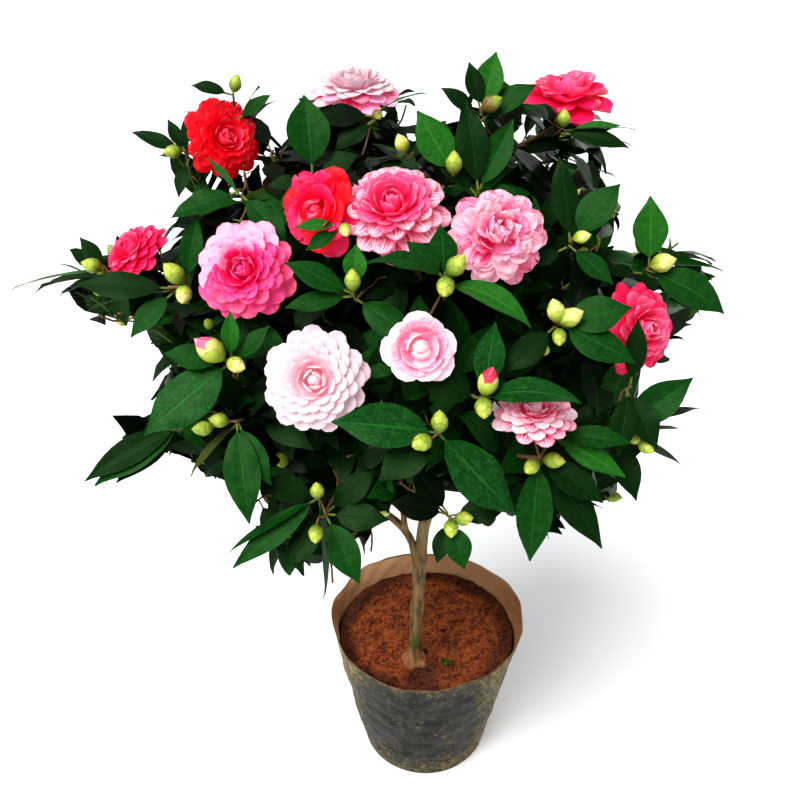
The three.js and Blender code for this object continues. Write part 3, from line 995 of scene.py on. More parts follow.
def addScales(pile, base, axis, length, plump, tints, names, count=11):
    # an egg of overlapping scales round a kernel; tints run from the base up to the tip
    side = squareTo(right + 0.2 * skyward, axis)
    other = np.cross(axis, side)
    rows = 7
    t = np.linspace(0, 1, rows)
    for k in range(count + 1):
        core = k == count    # a whole round kernel closes the tip
        share = min(k / (count - 1), 1)
        up = t if core else t * (0.45 + 0.53 * share ** 0.8)
        egg = np.maximum(np.sin(math.pi * np.clip(up * 0.95 + 0.05, 0, 1) ** 0.92), 0) ** 0.72
        out = (0.93 - 0.12 * share) * plump * length * egg + 0.0001
        half = 1.15 * np.sqrt(np.maximum(1 - t ** 3.2, 0)) * (0.55 + 0.45 * t) + 0.04
        if core:
            half, out = np.full(rows, math.pi), out * 0.93
        angle = k * goldenTurn + np.linspace(-1, 1, 9 if core else 5) * half[:, None]
        grid = (base + (out[:, None] * np.cos(angle))[..., None] * side
                + (out[:, None] * np.sin(angle))[..., None] * other + (up * length)[:, None, None] * axis)
        addSheet(pile, grid, sheetThick["petal"], t, tintAt(tints, share), names)


def addBud(base, way, length, tints, dice):
    addScales(scalePile, base, unit(way), length, dice.uniform(0.36, 0.43), tints, scaleTints)


budTints = {
    "green": [(1.0, "green")],
    "lime": [(0.4, "green"), (1.0, "lime")],
    "pale": [(0.3, "lime"), (1.0, "pale")],
    "brown": [(0.6, "brown"), (1.0, "green")],
    "pinkTip": [(0.25, "lime"), (0.72, "pale"), (1.0, "pinkTip")],
    "crimsonTip": [(0.30, "lime"), (0.62, "pale"), (1.0, "crimsonTip")],
}


def paintPetal():
    paint = Paint("camelliaPetal")
    column, u, row, v = paint.cells(len(petalTints))
    away = abs(u - 0.5) * 2
    base, tip, stripe, streaky, edge = paint.dealt(column, petalTints)
    lines = paint.noise(paint.vector(u * 6.5 + column * 5, v * 0.8), 1.6, 2)
    fine = paint.noise(paint.vector(u * 46, v * 2.6 + column), 1.0, 2)
    rays = streaky * (lines.step(0.40, 0.60) * 0.44 + 0.04)
    colour = paint.mix((v - rays).step(0.34, 0.88), base, tip)
    colour = paint.mix(lines.step(0.52, 0.60) * streaky * (1 - away.step(0.9, 1.0) * 0.4), colour, stripe)
    # paler rim: partly the petal's own pale edge, partly a painted highlight
    rim = v.step(0.86, 1.0).atLeast(away.step(0.82, 1.0) * v.step(0.5, 0.8))
    colour = paint.mix(rim * edge * 0.75, colour, (240, 228, 233))
    colour = paint.mix(fine.step(0.35, 0.75) * 0.12, colour, stripe)
    low = paint.mix(0.35, colour, stripe)
    colour = paint.mix(row.step(0.4, 0.6), low, colour)
    # a little even light of its own stands for what comes through the thin petals
    return paint.finish(colour, 0.5, fine + lines * 0.4, 0.25, 0.0008, Specular_IOR_Level=0.3,
                        Emission_Color=colour, Emission_Strength=0.12)


def paintScale():
    paint = Paint("budScale")
    column, u, _, v = paint.cells(len(scaleTints))
    away = abs(u - 0.5) * 2
    base, tip, dry = paint.dealt(column, scaleTints)
    fine = paint.noise(paint.vector(u * 30, v * 3 + column), 1.0, 2)
    colour = paint.mix(v.step(0.2, 0.95), base, tip)
    colour = paint.mix(v.step(0.88, 1.0).atLeast(away.step(0.84, 1.0)) * 0.7, colour, dry)
    colour = paint.mix(fine.step(0.4, 0.8) * 0.25, colour, dry)
    return paint.finish(colour, 0.48, fine, 0.3, 0.0008)


# the wood that grows on from the limbs

class Growth:
    # nodes of the living skeleton: where, from which node, how far from the trunk, which way
    def __init__(self):
        self.spot, self.parent, self.walked, self.heading, self.paths = [], [], [], [], []

    def node(self, spot, parent, heading):
        self.spot.append(np.asarray(spot, float))
        self.parent.append(parent)
        gone = 0 if parent < 0 else self.walked[parent] + np.linalg.norm(self.spot[-1] - self.spot[parent])
        self.walked.append(gone)
        self.heading.append(unit(heading))
        return len(self.spot) - 1

    def forget(self, made):    # takes back the twig grown last
        for _ in made[1:]:
            for row in (self.spot, self.parent, self.walked, self.heading):
                row.pop()
        self.paths.pop()

    def follow(self, line, last, skip=0):    # nodes along a limb that is there already
        for spot, way in list(zip(line, np.gradient(line, axis=0)))[skip:]:
            last = self.node(spot, last, way)

    def seed(self):
        self.follow(through(trunk["route"], 30), -1)
        for _, _, route in limbs.values():
            line = through(route, max(6, int(lengthOf(np.array(route)) / 0.012)))
            nearest = int(np.argmin(np.linalg.norm(np.array(self.spot) - line[0], axis=1)))
            self.follow(line, nearest, 1)

    def reachFor(self, tip, heading, dice):    # grows a twig to tip, arriving along heading
        spots = np.array(self.spot)
        gap = tip - spots
        far = np.linalg.norm(gap, axis=1)
        ahead = rowDots(gap, np.array(self.heading)) / np.maximum(far, 1e-6)
        cost = far + np.array(self.walked) * growth["walkCost"]
        cost = cost + growth["turnCost"] * (1 - ahead) * np.minimum(far, growth["turnsWithin"])
        cost += np.where(spots[:, 2] < growth["lowest"], 1.0, 0)
        start = int(np.argmin(cost))
        span = far[start]
        out = unit(self.heading[start] * 0.8 + gap[start] / max(span, 1e-6))
        a, d = self.spot[start], tip
        b = a + out * span * growth["leaves"]
        c = d - unit(heading) * span * growth["arrives"]
        count = max(3, int(span / growth["step"]))
        t = np.linspace(0, 1, count + 1)[1:, None]
        line = (1 - t) ** 3 * a + 3 * (1 - t) ** 2 * t * b + 3 * (1 - t) * t ** 2 * c + t ** 3 * d
        sway = np.sin(t * math.pi) * dice.normal(0, min(0.0035, span * 0.03), (count, 3))
        sway[-1] = 0
        if tip[1] < crownMid[1]:    # on the front the twigs run behind the leaves
            sway -= np.sin(t * math.pi) * sightOut * min(growth["sag"], span * 0.35)
        line = self.behindBlooms(line + sway, a)
        made = [start]
        for spot in line:
            made.append(self.node(spot, made[-1], spot - self.spot[made[-1]]))
        self.paths.append(made)
        return made

    def behindBlooms(self, line, start):    # a twig that would cross a bloom's face bends behind it
        pushed = False
        for centre, _, radius in bloomSpots:
            sight = unit(eye - centre)
            gap = line - centre
            ahead = gap @ sight
            aside = np.linalg.norm(gap - ahead[:, None] * sight, axis=1)
            over = (aside < radius + growth["besideBloom"]) & (ahead > -growth["behindBloom"])
            over[-1] = False
            if over.any():
                back = (ahead + growth["pushedBehind"])[:, None] * sight
                line = np.where(over[:, None], line - back, line)
                pushed = True
        for _ in range(3 if pushed else 0):
            rest = np.concatenate([[start], line])
            line = np.concatenate([(rest[:-2] + rest[1:-1] * 2 + rest[2:]) / 4, line[-1:]])
        return line

    def build(self, pile):
        count = len(self.spot)
        load = np.zeros(count)
        for k in range(count - 1, -1, -1):    # pipe rule: a bough carries the sum of its twigs
            if load[k] == 0:
                load[k] = growth["twig"] ** growth["pipe"]
            if self.parent[k] >= 0:
                load[self.parent[k]] += load[k]
        radius = np.minimum(load ** (1 / growth["pipe"]), growth["thickest"])
        for made in self.paths:
            line = [self.spot[k] for k in made]
            radii = radius[[made[1], *made[1:]]]
            radii = radii + np.linspace(0.35, 0, len(radii)) ** 3 * radii * 1.2
            age = int(sum(radii[0] <= limit for limit in growth["ages"]))
            finer = np.linspace(0, 1, len(line) * 2 - 1)
            radii = np.interp(finer, np.linspace(0, 1, len(line)), radii)
            addTube(pile, through(line, len(finer)), radii, age, len(twigTints), 6 if age else 8)


bloomSpots = []      # centre, axis and radius of every bloom
growth = dict(walkCost=0.22, turnCost=0.45, turnsWithin=0.08, lowest=0.40, step=0.014, sag=0.03, leaves=0.35,
              arrives=0.38, twig=0.00105, pipe=2.35, thickest=0.0042, ages=(0.0026, 0.0016),
              besideBloom=0.008, behindBloom=0.028, pushedBehind=0.034)
wood = Growth()
wood.seed()
twigPile = Pile()
twigTints = {         # ground and light streaks
    "thick": ((100, 82, 60), (150, 130, 102)),
    "middle": ((98, 70, 46), (142, 108, 74)),
    "thin": ((112, 78, 46), (144, 112, 66)),
}


def paintTwig():
    paint = Paint("youngBark")
    column, u, _, v = paint.cells(len(twigTints), 1)
    base, light = paint.dealt(column, twigTints)
    grain = paint.noise(paint.vector(u * 5, v * 2 + column * 3), 2.0, 3)
    lines = paint.noise(paint.vector(u * 16, v * 3), 1.0, 2)
    return paint.finish(paint.mix(grain.step(0.35, 0.7), base, light), 0.7, grain + lines, 0.5, 0.0008)


# listed blooms on the front and top of the crown
# place on the crown (turn, lift, reach), cm across, way it faces (turn, lift), kind, tints from rim to heart

blooms = {
    "scarletHigh": ((-100, 59, 0.84), 8.0, (35, 22), "full", "scarlet",
        [(0.8, "scarlet"), (1, "scarletHeart")]),
    "whiteTop": ((-156, 78, 0.905), 9.2, (-5, 80), "full", "blush",
        [(0.3, ["stripedPink", "blush", "hotPale"]), (1, "blush")]),
    "redTop": ((101, 60, 1.015), 9.4, (0, 84), "loose", "crimson",
        [(0.35, ["scarlet", "crimson"]), (0.7, "crimson"), (1, "rose")]),
    "scarletLoose": ((-13, 48, 0.91), 7.8, (-25, 18), "loose", "crimson",
        [(0.7, ["crimson", "crimson", "scarlet"]), (1, ["scarletHeart", "crimson"])]),
    "stripedTop": ((3, 49, 0.93), 9.1, (-8, 55), "full", "striped",
        [(0.42, "striped"), (0.6, ["rose", "striped"]), (1, ["rose", "crimsonHeart"])]),
    "peonyRight": ((22, 41, 0.96), 8.1, (5, 32), "peony", "peony",
        [(0.8, ["peony", "peony", "stripedPink"]), (1, ["peony", "hotPale"])]),
    # hot pink, paler on its upper side
    "bicolour": ((-26, 35, 0.88), 8.7, (-5, 28), "full", "hot",
        [(0.5, ["hot", "hot", "rose"]), (1, "hot")]),
    "blushFront": ((-9, 16, 0.95), 8.8, (0, 30), "formal", "blush", [(0.75, "blush"), (1, "blushHeart")]),
    "shellSmall": ((6, 22, 0.97), 6.2, (2, 34), "half", "shell",
        [(0.35, "shell"), (0.8, "peony"), (1, "blushHeart")]),
    "crimsonRight": ((44.5, 18.5, 0.955), 8.2, (34, 22), "full", "crimson",
        [(0.5, ["crimson", "rose"]), (0.8, "rose"), (1, "crimsonHeart")]),
    "crimsonLeft": ((-82, 27, 0.79), 7.4, (-55, 52), "full", "crimson",
        [(0.4, "crimson"), (1, ["crimson", "rose"])]),
    "stripedLow": ((21, 10, 1.0), 7.2, (0, 80), "formal", "striped",
        [(0.5, ["striped", "blush"]), (1, ["peony", "striped"])]),
}

# leading shoots on the front: place on the crown, buds (kind, clock hour, cm out, cm long) and leaves
# (clock hour, cm long, cm wide, tint, manner if not broad), both as seen from the front and a little above

leadingShoots = {
    "middle": ((8, 7, 0.99), [("lime", 0, 0.6, 2.0), ("lime", 8, 1.9, 1.9)], [(9.2, 7.4, 3.7, "speckled"),
        (4.5, 8.7, 4.1, "speckled"), (7.7, 5.1, 3.1, "dark")]),
    "opening": ((14, 13, 0.99), [("crimsonTip", 0.6, 1.5, 2.5), ("lime", 6, 0.9, 2.0)],
        [(12.3, 4.9, 2.4, "speckled"), (3.2, 7.0, 2.9, "speckled", "arched"),
        (2.7, 4.7, 1.4, "leaf", "edge"), (9.7, 4.4, 3.2, "dark")]),
    "lowRight": ((22, 0, 1.0), [("lime", 7.5, 1.3, 1.7), ("lime", 3.5, 1.3, 1.9)],
        [(6.2, 7.7, 3.1, "leaf"), (4.2, 5.4, 2.6, "dark"), (4.7, 8.2, 2.9, "dark"),
        (6.0, 2.6, 1.0, "fresh", "edge")]),
    "rightOfLow": ((24, 4, 1.0), [], [(3.1, 5.2, 1.9, "leaf"), (4.0, 5.6, 2.2, "fresh")]),
    "farRight": ((36, 1, 0.99), [("lime", 4.3, 2.6, 1.5), ("lime", 4.3, 1.3, 1.4)],
        [(1.8, 6.4, 3.1, "leaf"), (2.5, 6.3, 1.5, "dark", "edge"), (3.0, 4.6, 1.2, "leaf", "edge"),
        (3.9, 5.4, 1.6, "dark", "edge"), (5.4, 5.2, 2.4, "dark")]),
    "trio": ((27, 24, 0.98), [("pale", 11.2, 0.9, 2.1), ("pale", 2.4, 0.9, 2.1), ("lime", 6.2, 1.5, 1.7)],
        [(4.0, 5.7, 3.0, "leaf"), (2.6, 4.9, 3.1, "leaf"), (7.6, 4.6, 2.4, "dark")]),
    "belowRight": ((37, 10, 1.0), [], [(12.2, 4.6, 1.8, "dark"), (6.3, 4.8, 2.2, "dark"),
        (5.3, 4.6, 2.6, "dark")]),
    "farHigh": ((52, 29, 0.95), [("pale", 2.8, 0.9, 2.2)], [(12.0, 4.9, 3.0, "fresh"),
        (4.0, 6.5, 3.4, "leaf"), (4.3, 5.0, 1.3, "leaf", "edge"), (9.0, 2.3, 1.2, "dark")]),
    "rightHigh": ((36, 38, 0.96), [("pale", 3.0, 0.8, 1.5)], [(1.3, 4.8, 2.9, "leaf"),
        (11.7, 5.8, 2.2, "dark"), (4.5, 3.8, 2.0, "leaf"), (8.0, 2.6, 1.3, "dark")]),
    "innerTwin": ((11, 34, 0.96), [("lime", 1.5, 1.3, 2.1), ("lime", 6.3, 1.1, 2.0)],
        [(9.2, 5.6, 2.1, "leaf", "arched"), (10.5, 3.3, 1.9, "leaf"), (11.8, 3.4, 2.3, "leaf"),
        (4.0, 7.0, 2.3, "fresh", "arched")]),
    "innerLeft": ((-4, 32, 0.94), [("lime", 12, 0.9, 1.8)], [(12.2, 2.7, 1.9, "fresh"),
        (9.8, 4.8, 2.1, "leaf"), (8.7, 4.4, 1.6, "leaf"), (4.2, 4.8, 2.5, "leaf")]),
    "betweenReds": ((-7, 45, 0.92), [("pale", 5.5, 0.7, 1.4)], [(8.9, 2.8, 1.0, "fresh"),
        (7.8, 2.6, 1.3, "leaf")]),
    "topInner": ((8, 61, 0.92), [("pale", 11, 0.6, 1.6)], [(8.5, 3.2, 1.1, "leaf", "edge"),
        (2.0, 3.6, 1.7, "dark"), (2.3, 4.2, 1.1, "leaf", "edge")]),
    "topUpright": ((18, 54, 0.94), [("lime", 12, 0.8, 1.9)], [(11.0, 4.8, 3.0, "fresh")]),
    "spire": ((57, 71, 0.92), [("brown", 2.5, 1.0, 2.1)], [(11.5, 3.3, 1.7, "dark"),
        (12.5, 4.5, 2.6, "fresh"), (10.2, 3.3, 1.6, "dark"), (1.9, 5.0, 2.2, "leaf")]),
    "underSpire": ((23, 51, 0.93), [], [(11.7, 6.0, 2.6, "dark"), (12.9, 5.4, 2.4, "leaf"),
        (10.6, 4.6, 2.2, "dark")]),
    "underWhite": ((-4, 77, 0.9), [("brown", 5.2, 0.5, 1.3)], [(2.4, 3.8, 1.0, "fresh", "edge"),
        (8.9, 4.4, 2.3, "deep"), (7.6, 3.6, 2.0, "dark")]),
    "underRedTop": ((77, 59, 0.93), [("lime", 12, 0.7, 1.6)], [(3.0, 5.4, 1.4, "leaf", "edge"),
        (3.5, 5.2, 1.9, "dark"), (2.7, 4.4, 1.4, "fresh"), (3.2, 5.6, 1.3, "dark", "edge")]),
    "topLeftMid": ((-19.4, 57.5, 0.885), [], [(11.9, 5.3, 3.6, "leaf"), (2.3, 3.2, 2.2, "dark"),
        (8.6, 2.9, 1.4, "dark")]),
    "besideScarlet": ((-104, 62, 0.88), [], [(1.9, 3.2, 1.5, "leaf")]),
    "highLeft": ((-102, 65, 0.96), [("lime", 12.8, 1.0, 1.7)], [(9.4, 3.0, 1.4, "dark")]),
    "leftOfScarlet": ((-93, 52, 0.87), [("lime", 8.2, 1.3, 1.9)], [(9.6, 4.2, 1.5, "dark"),
        (11.0, 2.7, 1.2, "dark"), (6.4, 3.0, 1.4, "dark")]),
    "belowScarlet": ((-40, 52, 0.86), [], [(8.2, 5.1, 2.4, "leaf"), (4.5, 5.0, 2.4, "leaf"),
        (10.6, 3.4, 1.2, "fresh", "edge")]),
    "leftArm": ((-46, 28, 0.82), [], [(9.0, 6.9, 2.6, "dark"), (8.5, 6.8, 1.2, "leaf", "edge"),
        (7.4, 4.4, 2.1, "leaf")]),
    "farLeft": ((-77, 22, 0.84), [("lime", 9.2, 1.2, 2.0), ("brown", 6, 2.4, 2.0)],
        [(8.6, 7.9, 2.0, "fresh", "edge"), (10.7, 3.1, 1.5, "dark"), (5.4, 4.4, 2.0, "dark")]),
    "leftTwin": ((-40, 30, 0.84), [("lime", 10.3, 1.4, 2.3), ("pale", 6, 1.3, 1.9)],
        [(12.3, 4.8, 1.9, "leaf")]),
    "lowLeftBud": ((-24, 17, 0.9), [("pinkTip", 10, 1.9, 2.9), ("pale", 4.0, 0.8, 2.0)],
        [(9.2, 4.2, 2.1, "leaf"), (7.6, 7.9, 4.1, "speckled"), (12.0, 3.3, 1.5, "fresh"),
        (1.5, 3.4, 1.6, "leaf")]),
    "trailing": ((-36, -2, 0.86), [], [(8.05, 8.2, 2.6, "dark"), (7.8, 8.0, 2.6, "leaf"),
        (7.6, 6.6, 2.2, "dark")]),
    "lowLeft": ((-22, 5, 0.91), [("lime", 9.0, 1.5, 1.8), ("green", 8.5, 2.9, 1.8)],
        [(5.7, 7.4, 3.1, "leaf"), (5.2, 5.0, 2.2, "leaf"), (7.4, 5.0, 1.3, "olive", "edge")]),
    "skirtLeft": ((-9, -9, 0.96), [("lime", 12, 0.8, 1.6), ("lime", 6, 3.2, 1.7)],
        [(8.0, 7.7, 1.5, "leaf", "edge"), (7.7, 8.0, 2.3, "leaf"), (5.95, 8.4, 1.6, "leaf", "edge"),
        (9.4, 4.4, 2.4, "dark")]),
    "skirtMid": ((-8, -13, 0.97), [], [(5.1, 5.4, 2.8, "leaf"), (3.2, 4.4, 2.4, "dark"),
        (7.2, 4.8, 2.4, "dark"), (1.6, 4.6, 2.4, "dark")]),
    "skirtRight": ((10, -12, 1.0), [("lime", 6, 1.0, 1.7), ("lime", 3, 1.3, 1.7)],
        [(5.5, 3.4, 2.2, "leaf"), (6.5, 3.0, 1.7, "dark"), (2.7, 4.0, 2.2, "dark"), (9.5, 4.2, 2.4, "deep"),
        (10.8, 4.2, 2.4, "deep")]),
}

dice = np.random.default_rng(17)
keepClear = [        # (from, to, radius, how far the view of it from the front stays free)
    (np.array([-0.016, -0.054, 0.19]), np.array([-0.006, -0.054, 0.42]), 0.016, 9),
    (np.array([-0.08, -0.06, 0.20]), np.array([0.08, -0.06, 0.20]), 0.09, 9)]
targets = []         # (tip, heading, finish) for the wood to reach
boxSpare = dict(share=0.02, more=0.007)
boxSpan = np.array(cadHigh) - np.array(cadLow)
boxLow = np.array(cadLow) - boxSpan * boxSpare["share"] - boxSpare["more"]
boxHigh = np.array(cadHigh) + boxSpan * boxSpare["share"] + boxSpare["more"]


def inBox(points):
    return bool((points > boxLow).all() and (points < boxHigh).all())


def outwardAt(spot):           # square to the crown's own round shape
    return unit((spot - crownMid) / crownHalf ** 2)


topBlooms = ("whiteTop", "redTop")
aboveTop = (0.035, 0.08)              # nothing stands from so far to so far above these two
paleHours = {"bicolour": 11.2}        # the clock hour of the side that is pale


def placeBlooms():
    for name, (place, size, way, kind, colour, tints) in blooms.items():
        centre = onCrown(*place)
        axis = facing(*way)
        if name in topBlooms:
            keepClear.append((*(centre + axis * off for off in aboveTop), size / 200, 0))
        foot = addBloom(colour, centre, axis, size / 100, kind, tints, dice, paleHours.get(name))
        keepClear.append((centre, centre, size / 200 * 1.05, 9))
        bloomSpots.append((centre, axis, size / 200))
        targets.append((foot, unit(axis * 0.7 + facing(place[0], 40) * 0.5), name))


leafLean = {"broad": 0.12, "edge": 0.05, "arched": 0.25}    # how far a leaf leans to the front, radians
leafLonger = 1.04


def leafFace(manner, way):
    if manner == "arched":
        return unit(sightOut * 0.6 + skyward)
    if manner == "broad":
        return unit(sightOut + skyward * 0.5)
    face = unit(sightUp + skyward * 0.2 + sightOut * 0.35)
    if abs(np.dot(face, way)) > 0.8:
        face = unit(right * np.sign(way[0] + 0.01) + sightOut * 0.4)
    return face


def placeShoots():
    for name, (place, buds, leaves) in leadingShoots.items():
        node = onCrown(*place)
        heading = unit(outwardAt(node) * 0.6 + skyward * 0.35 + sightOut * 0.3)
        for kind, hour, away, size in buds:
            way = clockWay(hour, 0.5)
            addBud(node + way * max(away - size * 0.5, 0.1) / 100, unit(way + skyward * 0.15), size / 100,
                   budTints[kind], dice)
            if away > size * 0.6:
                targets.append((node + way * (away - size * 0.45) / 100, way, name + "Bud"))
        for k, (hour, length, width, tint, *others) in enumerate(leaves):
            manner = others[0] if others else "broad"
            way = clockWay(hour, leafLean[manner])
            face = leafFace(manner, way)
            base = node - heading * (0.002 + 0.0035 * k)
            bend = 0.95 if manner == "arched" else dice.uniform(0.15, 0.45)
            shape = leafShape(dice, "fine", bend=bend, start=bend * 0.5, twist=dice.normal(0, 0.12),
                              hook=dice.uniform(0.1, 0.4))
            for _ in range(8):    # a leaf that reaches out too far is turned back
                if inBox(leafGrid(base, way, face, length / 100 * leafLonger, width / 100, shape)[0]):
                    break
                way = unit(way - sightOut * 0.12 - skyward * 0.04)
            addLeaf(base, way, face, length / 100 * leafLonger, width / 100, tint, shape)
            keepClear.append((base, base + way * length / 100, width / 200 * 0.8, 9))
        targets.append((node, heading, name))


placeBlooms()
placeShoots()
print("blooms and leading shoots are placed")


# the rest of the crown, dealt out over every mass by a seeded rule

filling = dict(seed=23, space=0.041, innerSpace=0.047, tries=700, innerShare=0.35, outer=(0.62, 0.84),
               inner=(0.10, 0.66), hollow=0.11, frontReach=0.82, frontWithin=0.10, clearance=0.005,
               leaves=(5, 8), length=(0.058, 0.082), slim=0.46, stray=1.04, budShare=0.3,
               budSize=(0.013, 0.020), square=0.007, squares=180, looks=900, rounds=2,
               lookReach=(0.1, 0.72), deeper=(0, 0.04, 0.08), lookTurns=range(60, 301, 60), lookLift=18,
               lookAway=1.1, buried=0.08, under=-0.75, underSkipped=0.6)
moreBlooms = dict(most=10, space=0.15, turn=84, aside=0.62, above=0.50, reach=0.78, size=(0.9, 1.0),
                  like=["scarletHigh", "blushFront", "stripedTop", "crimsonRight", "bicolour", "peonyRight",
                        "redTop", "shellSmall"])
massMids = np.array([(low + high) / 2 for low, high in crownBoxes.values()])
massHalves = np.array([(high - low) / 2 for low, high in crownBoxes.values()])


def depthIn(spot):    # 1 on the outside of the masses, less inside them
    return float(np.min(np.linalg.norm((spot - massMids) / massHalves, axis=1)))


def crownReach(spot):
    return float(np.linalg.norm((spot - crownMid) / crownHalf))


def turnOf(spot):
    away = (spot - crownMid) / crownHalf
    return math.degrees(math.atan2(away[0], -away[1]))


def hides(spots, spare):    # does any spot stand before, or in, something that is to stay clear
    starts, ends, radii, free = (np.array(part) for part in zip(*keepClear))
    along = ends - starts
    span = np.maximum(rowDots(along, along), 1e-9)
    for spot in spots:
        share = rowDots(spot - starts, along) / span
        near = starts + along * np.clip(share, 0, 1)[:, None]
        sight = units(eye - near)
        gap = spot - near
        ahead = rowDots(gap, sight)
        aside = np.linalg.norm(gap - sight * np.clip(ahead, 0, free)[:, None], axis=1)
        if np.any((aside < radii + spare) & ((ahead > -0.010) | (free == 0))):
            return True
    return False


# places between the shoots where the crown stands open to the sky: turn, lift, reach, cm across
openPlaces = [
    (-73, 71, 0.85, 3.4), (-97, 76, 0.91, 2.0), (-34, 55, 0.87, 1.8), (34, 76, 0.91, 3.0),
    (97, 75, 0.97, 2.0), (63, 42, 0.94, 3.4), (92, 43, 0.96, 5.0), (-92, -8, 0.85, 6.6),
    (-54, -2, 0.8, 3.4), (-92, -2, 0.98, 6.4), (-92, -48, 1.14, 9.2), (-35, -27, 0.88, 5.2),
    (-93, -63, 1.24, 7.2), (-95, -78, 1.45, 4.6), (20, -19, 1.01, 3.8), (92, -58, 1.37, 7.4),
    (92, -50, 1.3, 6.0), (92, -41, 1.17, 4.0), (1, -21, 0.99, 3.0), (64, 6, 0.94, 4.0), (92, 23, 0.98, 2.6),
    (-93, 53, 1.03, 5.0), (-92, 28, 0.94, 5.0), (-92, 40, 0.9, 6.8), (92, 8, 1.06, 5.0),
    (-102, 82, 1.02, 2.6), (120, 87, 0.99, 3.6), (7, -3, 0.99, 3.0), (10, -8, 1.0, 3.2),
    (0, -16, 0.98, 3.4), (-85, 35, 0.78, 3.4), (-66, 46, 0.8, 2.2), (-45, 12, 0.82, 3.0),
    (49, 36, 0.95, 3.2), (60, 45, 0.94, 2.2), (56, 63, 0.93, 1.8), (-19, -12, 0.93, 1.6),
    (40, -10, 0.99, 2.4), (35, -38, 1.02, 2.4), (20, -18, 1.01, 2.2), (13, 73, 0.91, 2.0),
    (109, 67, 1.03, 1.4)]


def inOpenSky(spots):
    for turn, lift, reach, size in openPlaces:
        way = unit(onCrown(turn, lift, reach) - eye)
        gap = np.asarray(spots) - eye
        aside = np.linalg.norm(gap - (gap @ way)[:, None] * way, axis=1)
        if (aside < size / 200 + 0.002).any():
            return True
    return False


def dealTips(dice):
    tips = []
    order = [(mid, half) for mid, half in zip(massMids, massHalves) for _ in range(filling["tries"])]
    dice.shuffle(order)
    for mid, half in order:
        way = unit(dice.normal(size=3))
        inner = dice.random() < filling["innerShare"]
        share = dice.uniform(*filling["inner" if inner else "outer"])
        spot = crownMid + crownHalf * way * share if inner else mid + half * way * share
        if inner and spot[2] < crownMid[2] - filling["hollow"]:
            continue
        if not inner and depthIn(spot) < share - filling["buried"]:
            continue
        if way[2] < filling["under"] and dice.random() < filling["underSkipped"]:
            continue
        space = filling["innerSpace" if inner else "space"]
        if any(np.linalg.norm(spot - other) < space for other, _, otherInner in tips if inner == otherInner):
            continue
        if not inOpenSky([spot]):
            tips.append((spot, unit(outwardAt(spot) * 0.6 + unit(way / half) * 0.5), inner))
    return tips


def behindTheFront(spot):    # leading shoots keep the outermost place on the front
    near = min(np.linalg.norm(spot - (start + end) / 2) for start, end, _, free in keepClear if free)
    reach = crownReach(spot)
    if near < filling["frontWithin"] and reach > filling["frontReach"] and spot[1] < crownMid[1] + 0.05:
        spot = crownMid + (spot - crownMid) * filling["frontReach"] / reach
    return spot


tintShares = {        # how often each tint is dealt, from the inside of the crown out; the darker tints dealt inside and under the crown are painted shade
    "inside": dict(deep=0.8, dark=0.2),
    "between": dict(deep=0.3, dark=0.5, leaf=0.2),
    "below": dict(deep=0.15, dark=0.5, leaf=0.3, fresh=0.05),
    "outside": dict(dark=0.34, leaf=0.40, speckled=0.14, fresh=0.09, young=0.03),
}


# darker tints deeper in the crown and on its underside: painted shade
def leafTint(dice, depth, lift):
    where = "inside" if depth < 0.62 else "between" if depth < 0.85 else "outside"
    if where == "outside" and lift < -0.25:
        where = "below"
    shares = tintShares[where]
    return str(dice.choice(list(shares), p=list(shares.values())))


spray = dict(tries=4, sameTint=0.72, back=0.002, apart=0.0095, spread=38, wider=8.5, stray=9,
             droop=(0.02, 0.24), first=0.80, shorter=0.12, inside=0.80, underBloom=(6, 1.0), bloom=(4, 1.6),
             shoot=(3, 1.5))    # the last three: how many leaves, and how far apart they stand


def leafySpray(tip, heading, made, inner, dice, count=None, crowd=1.0, reach=spray["inside"]):
    line = np.array([wood.spot[k] for k in made[::-1]])
    walked = walkedOn(line)
    radial = squareTo(right + 0.1 * skyward, heading)
    depth = 0.5 if inner else crownReach(tip)
    lift = (tip[2] - crownMid[2]) / crownHalf[2]
    sprayTint = leafTint(dice, depth, lift)
    count = dice.integers(*filling["leaves"]) if count is None else count
    first = dice.uniform(0, 6.3)
    outward = outwardAt(tip)
    grown = 0
    for k in range(count):
        back = (spray["back"] + spray["apart"] * k) * crowd
        base = np.array([np.interp(back, walked, line[:, axis]) for axis in range(3)])
        tint = sprayTint if dice.random() < spray["sameTint"] else leafTint(dice, depth, lift)
        for attempt in range(spray["tries"]):
            turn = first + k * goldenTurn + attempt * 0.9
            spread = math.radians(spray["spread"] + spray["wider"] * k + dice.normal() * spray["stray"])
            way = unit(heading * math.cos(spread) + turned(radial, heading, turn) * math.sin(spread)
                       - skyward * dice.uniform(*spray["droop"]))
            length = dice.uniform(*filling["length"]) * (1 if k else spray["first"])
            length *= 1 - spray["shorter"] * attempt
            width = length * filling["slim"] * dice.uniform(0.88, 1.12)
            spots = [base + way * length * share for share in (0.35, 0.7, 1.0)]
            if hides(spots, filling["clearance"]) or inOpenSky(spots):
                continue
            face = unit(skyward * 0.75 + outward * 0.55 + heading * 0.15 + dice.normal(0, 0.16, 3))
            shape = leafShape(dice, "inner" if inner else "plain")
            grid = leafGrid(base, way, face, length, width, shape)[0]
            strayed = crownReach(grid[-1, 1]) > reach if inner else depthIn(grid[-1, 2]) > filling["stray"]
            if inBox(grid) and not strayed:
                addLeaf(base, way, face, length, width, tint, shape)
                grown += 1
                break
    return grown


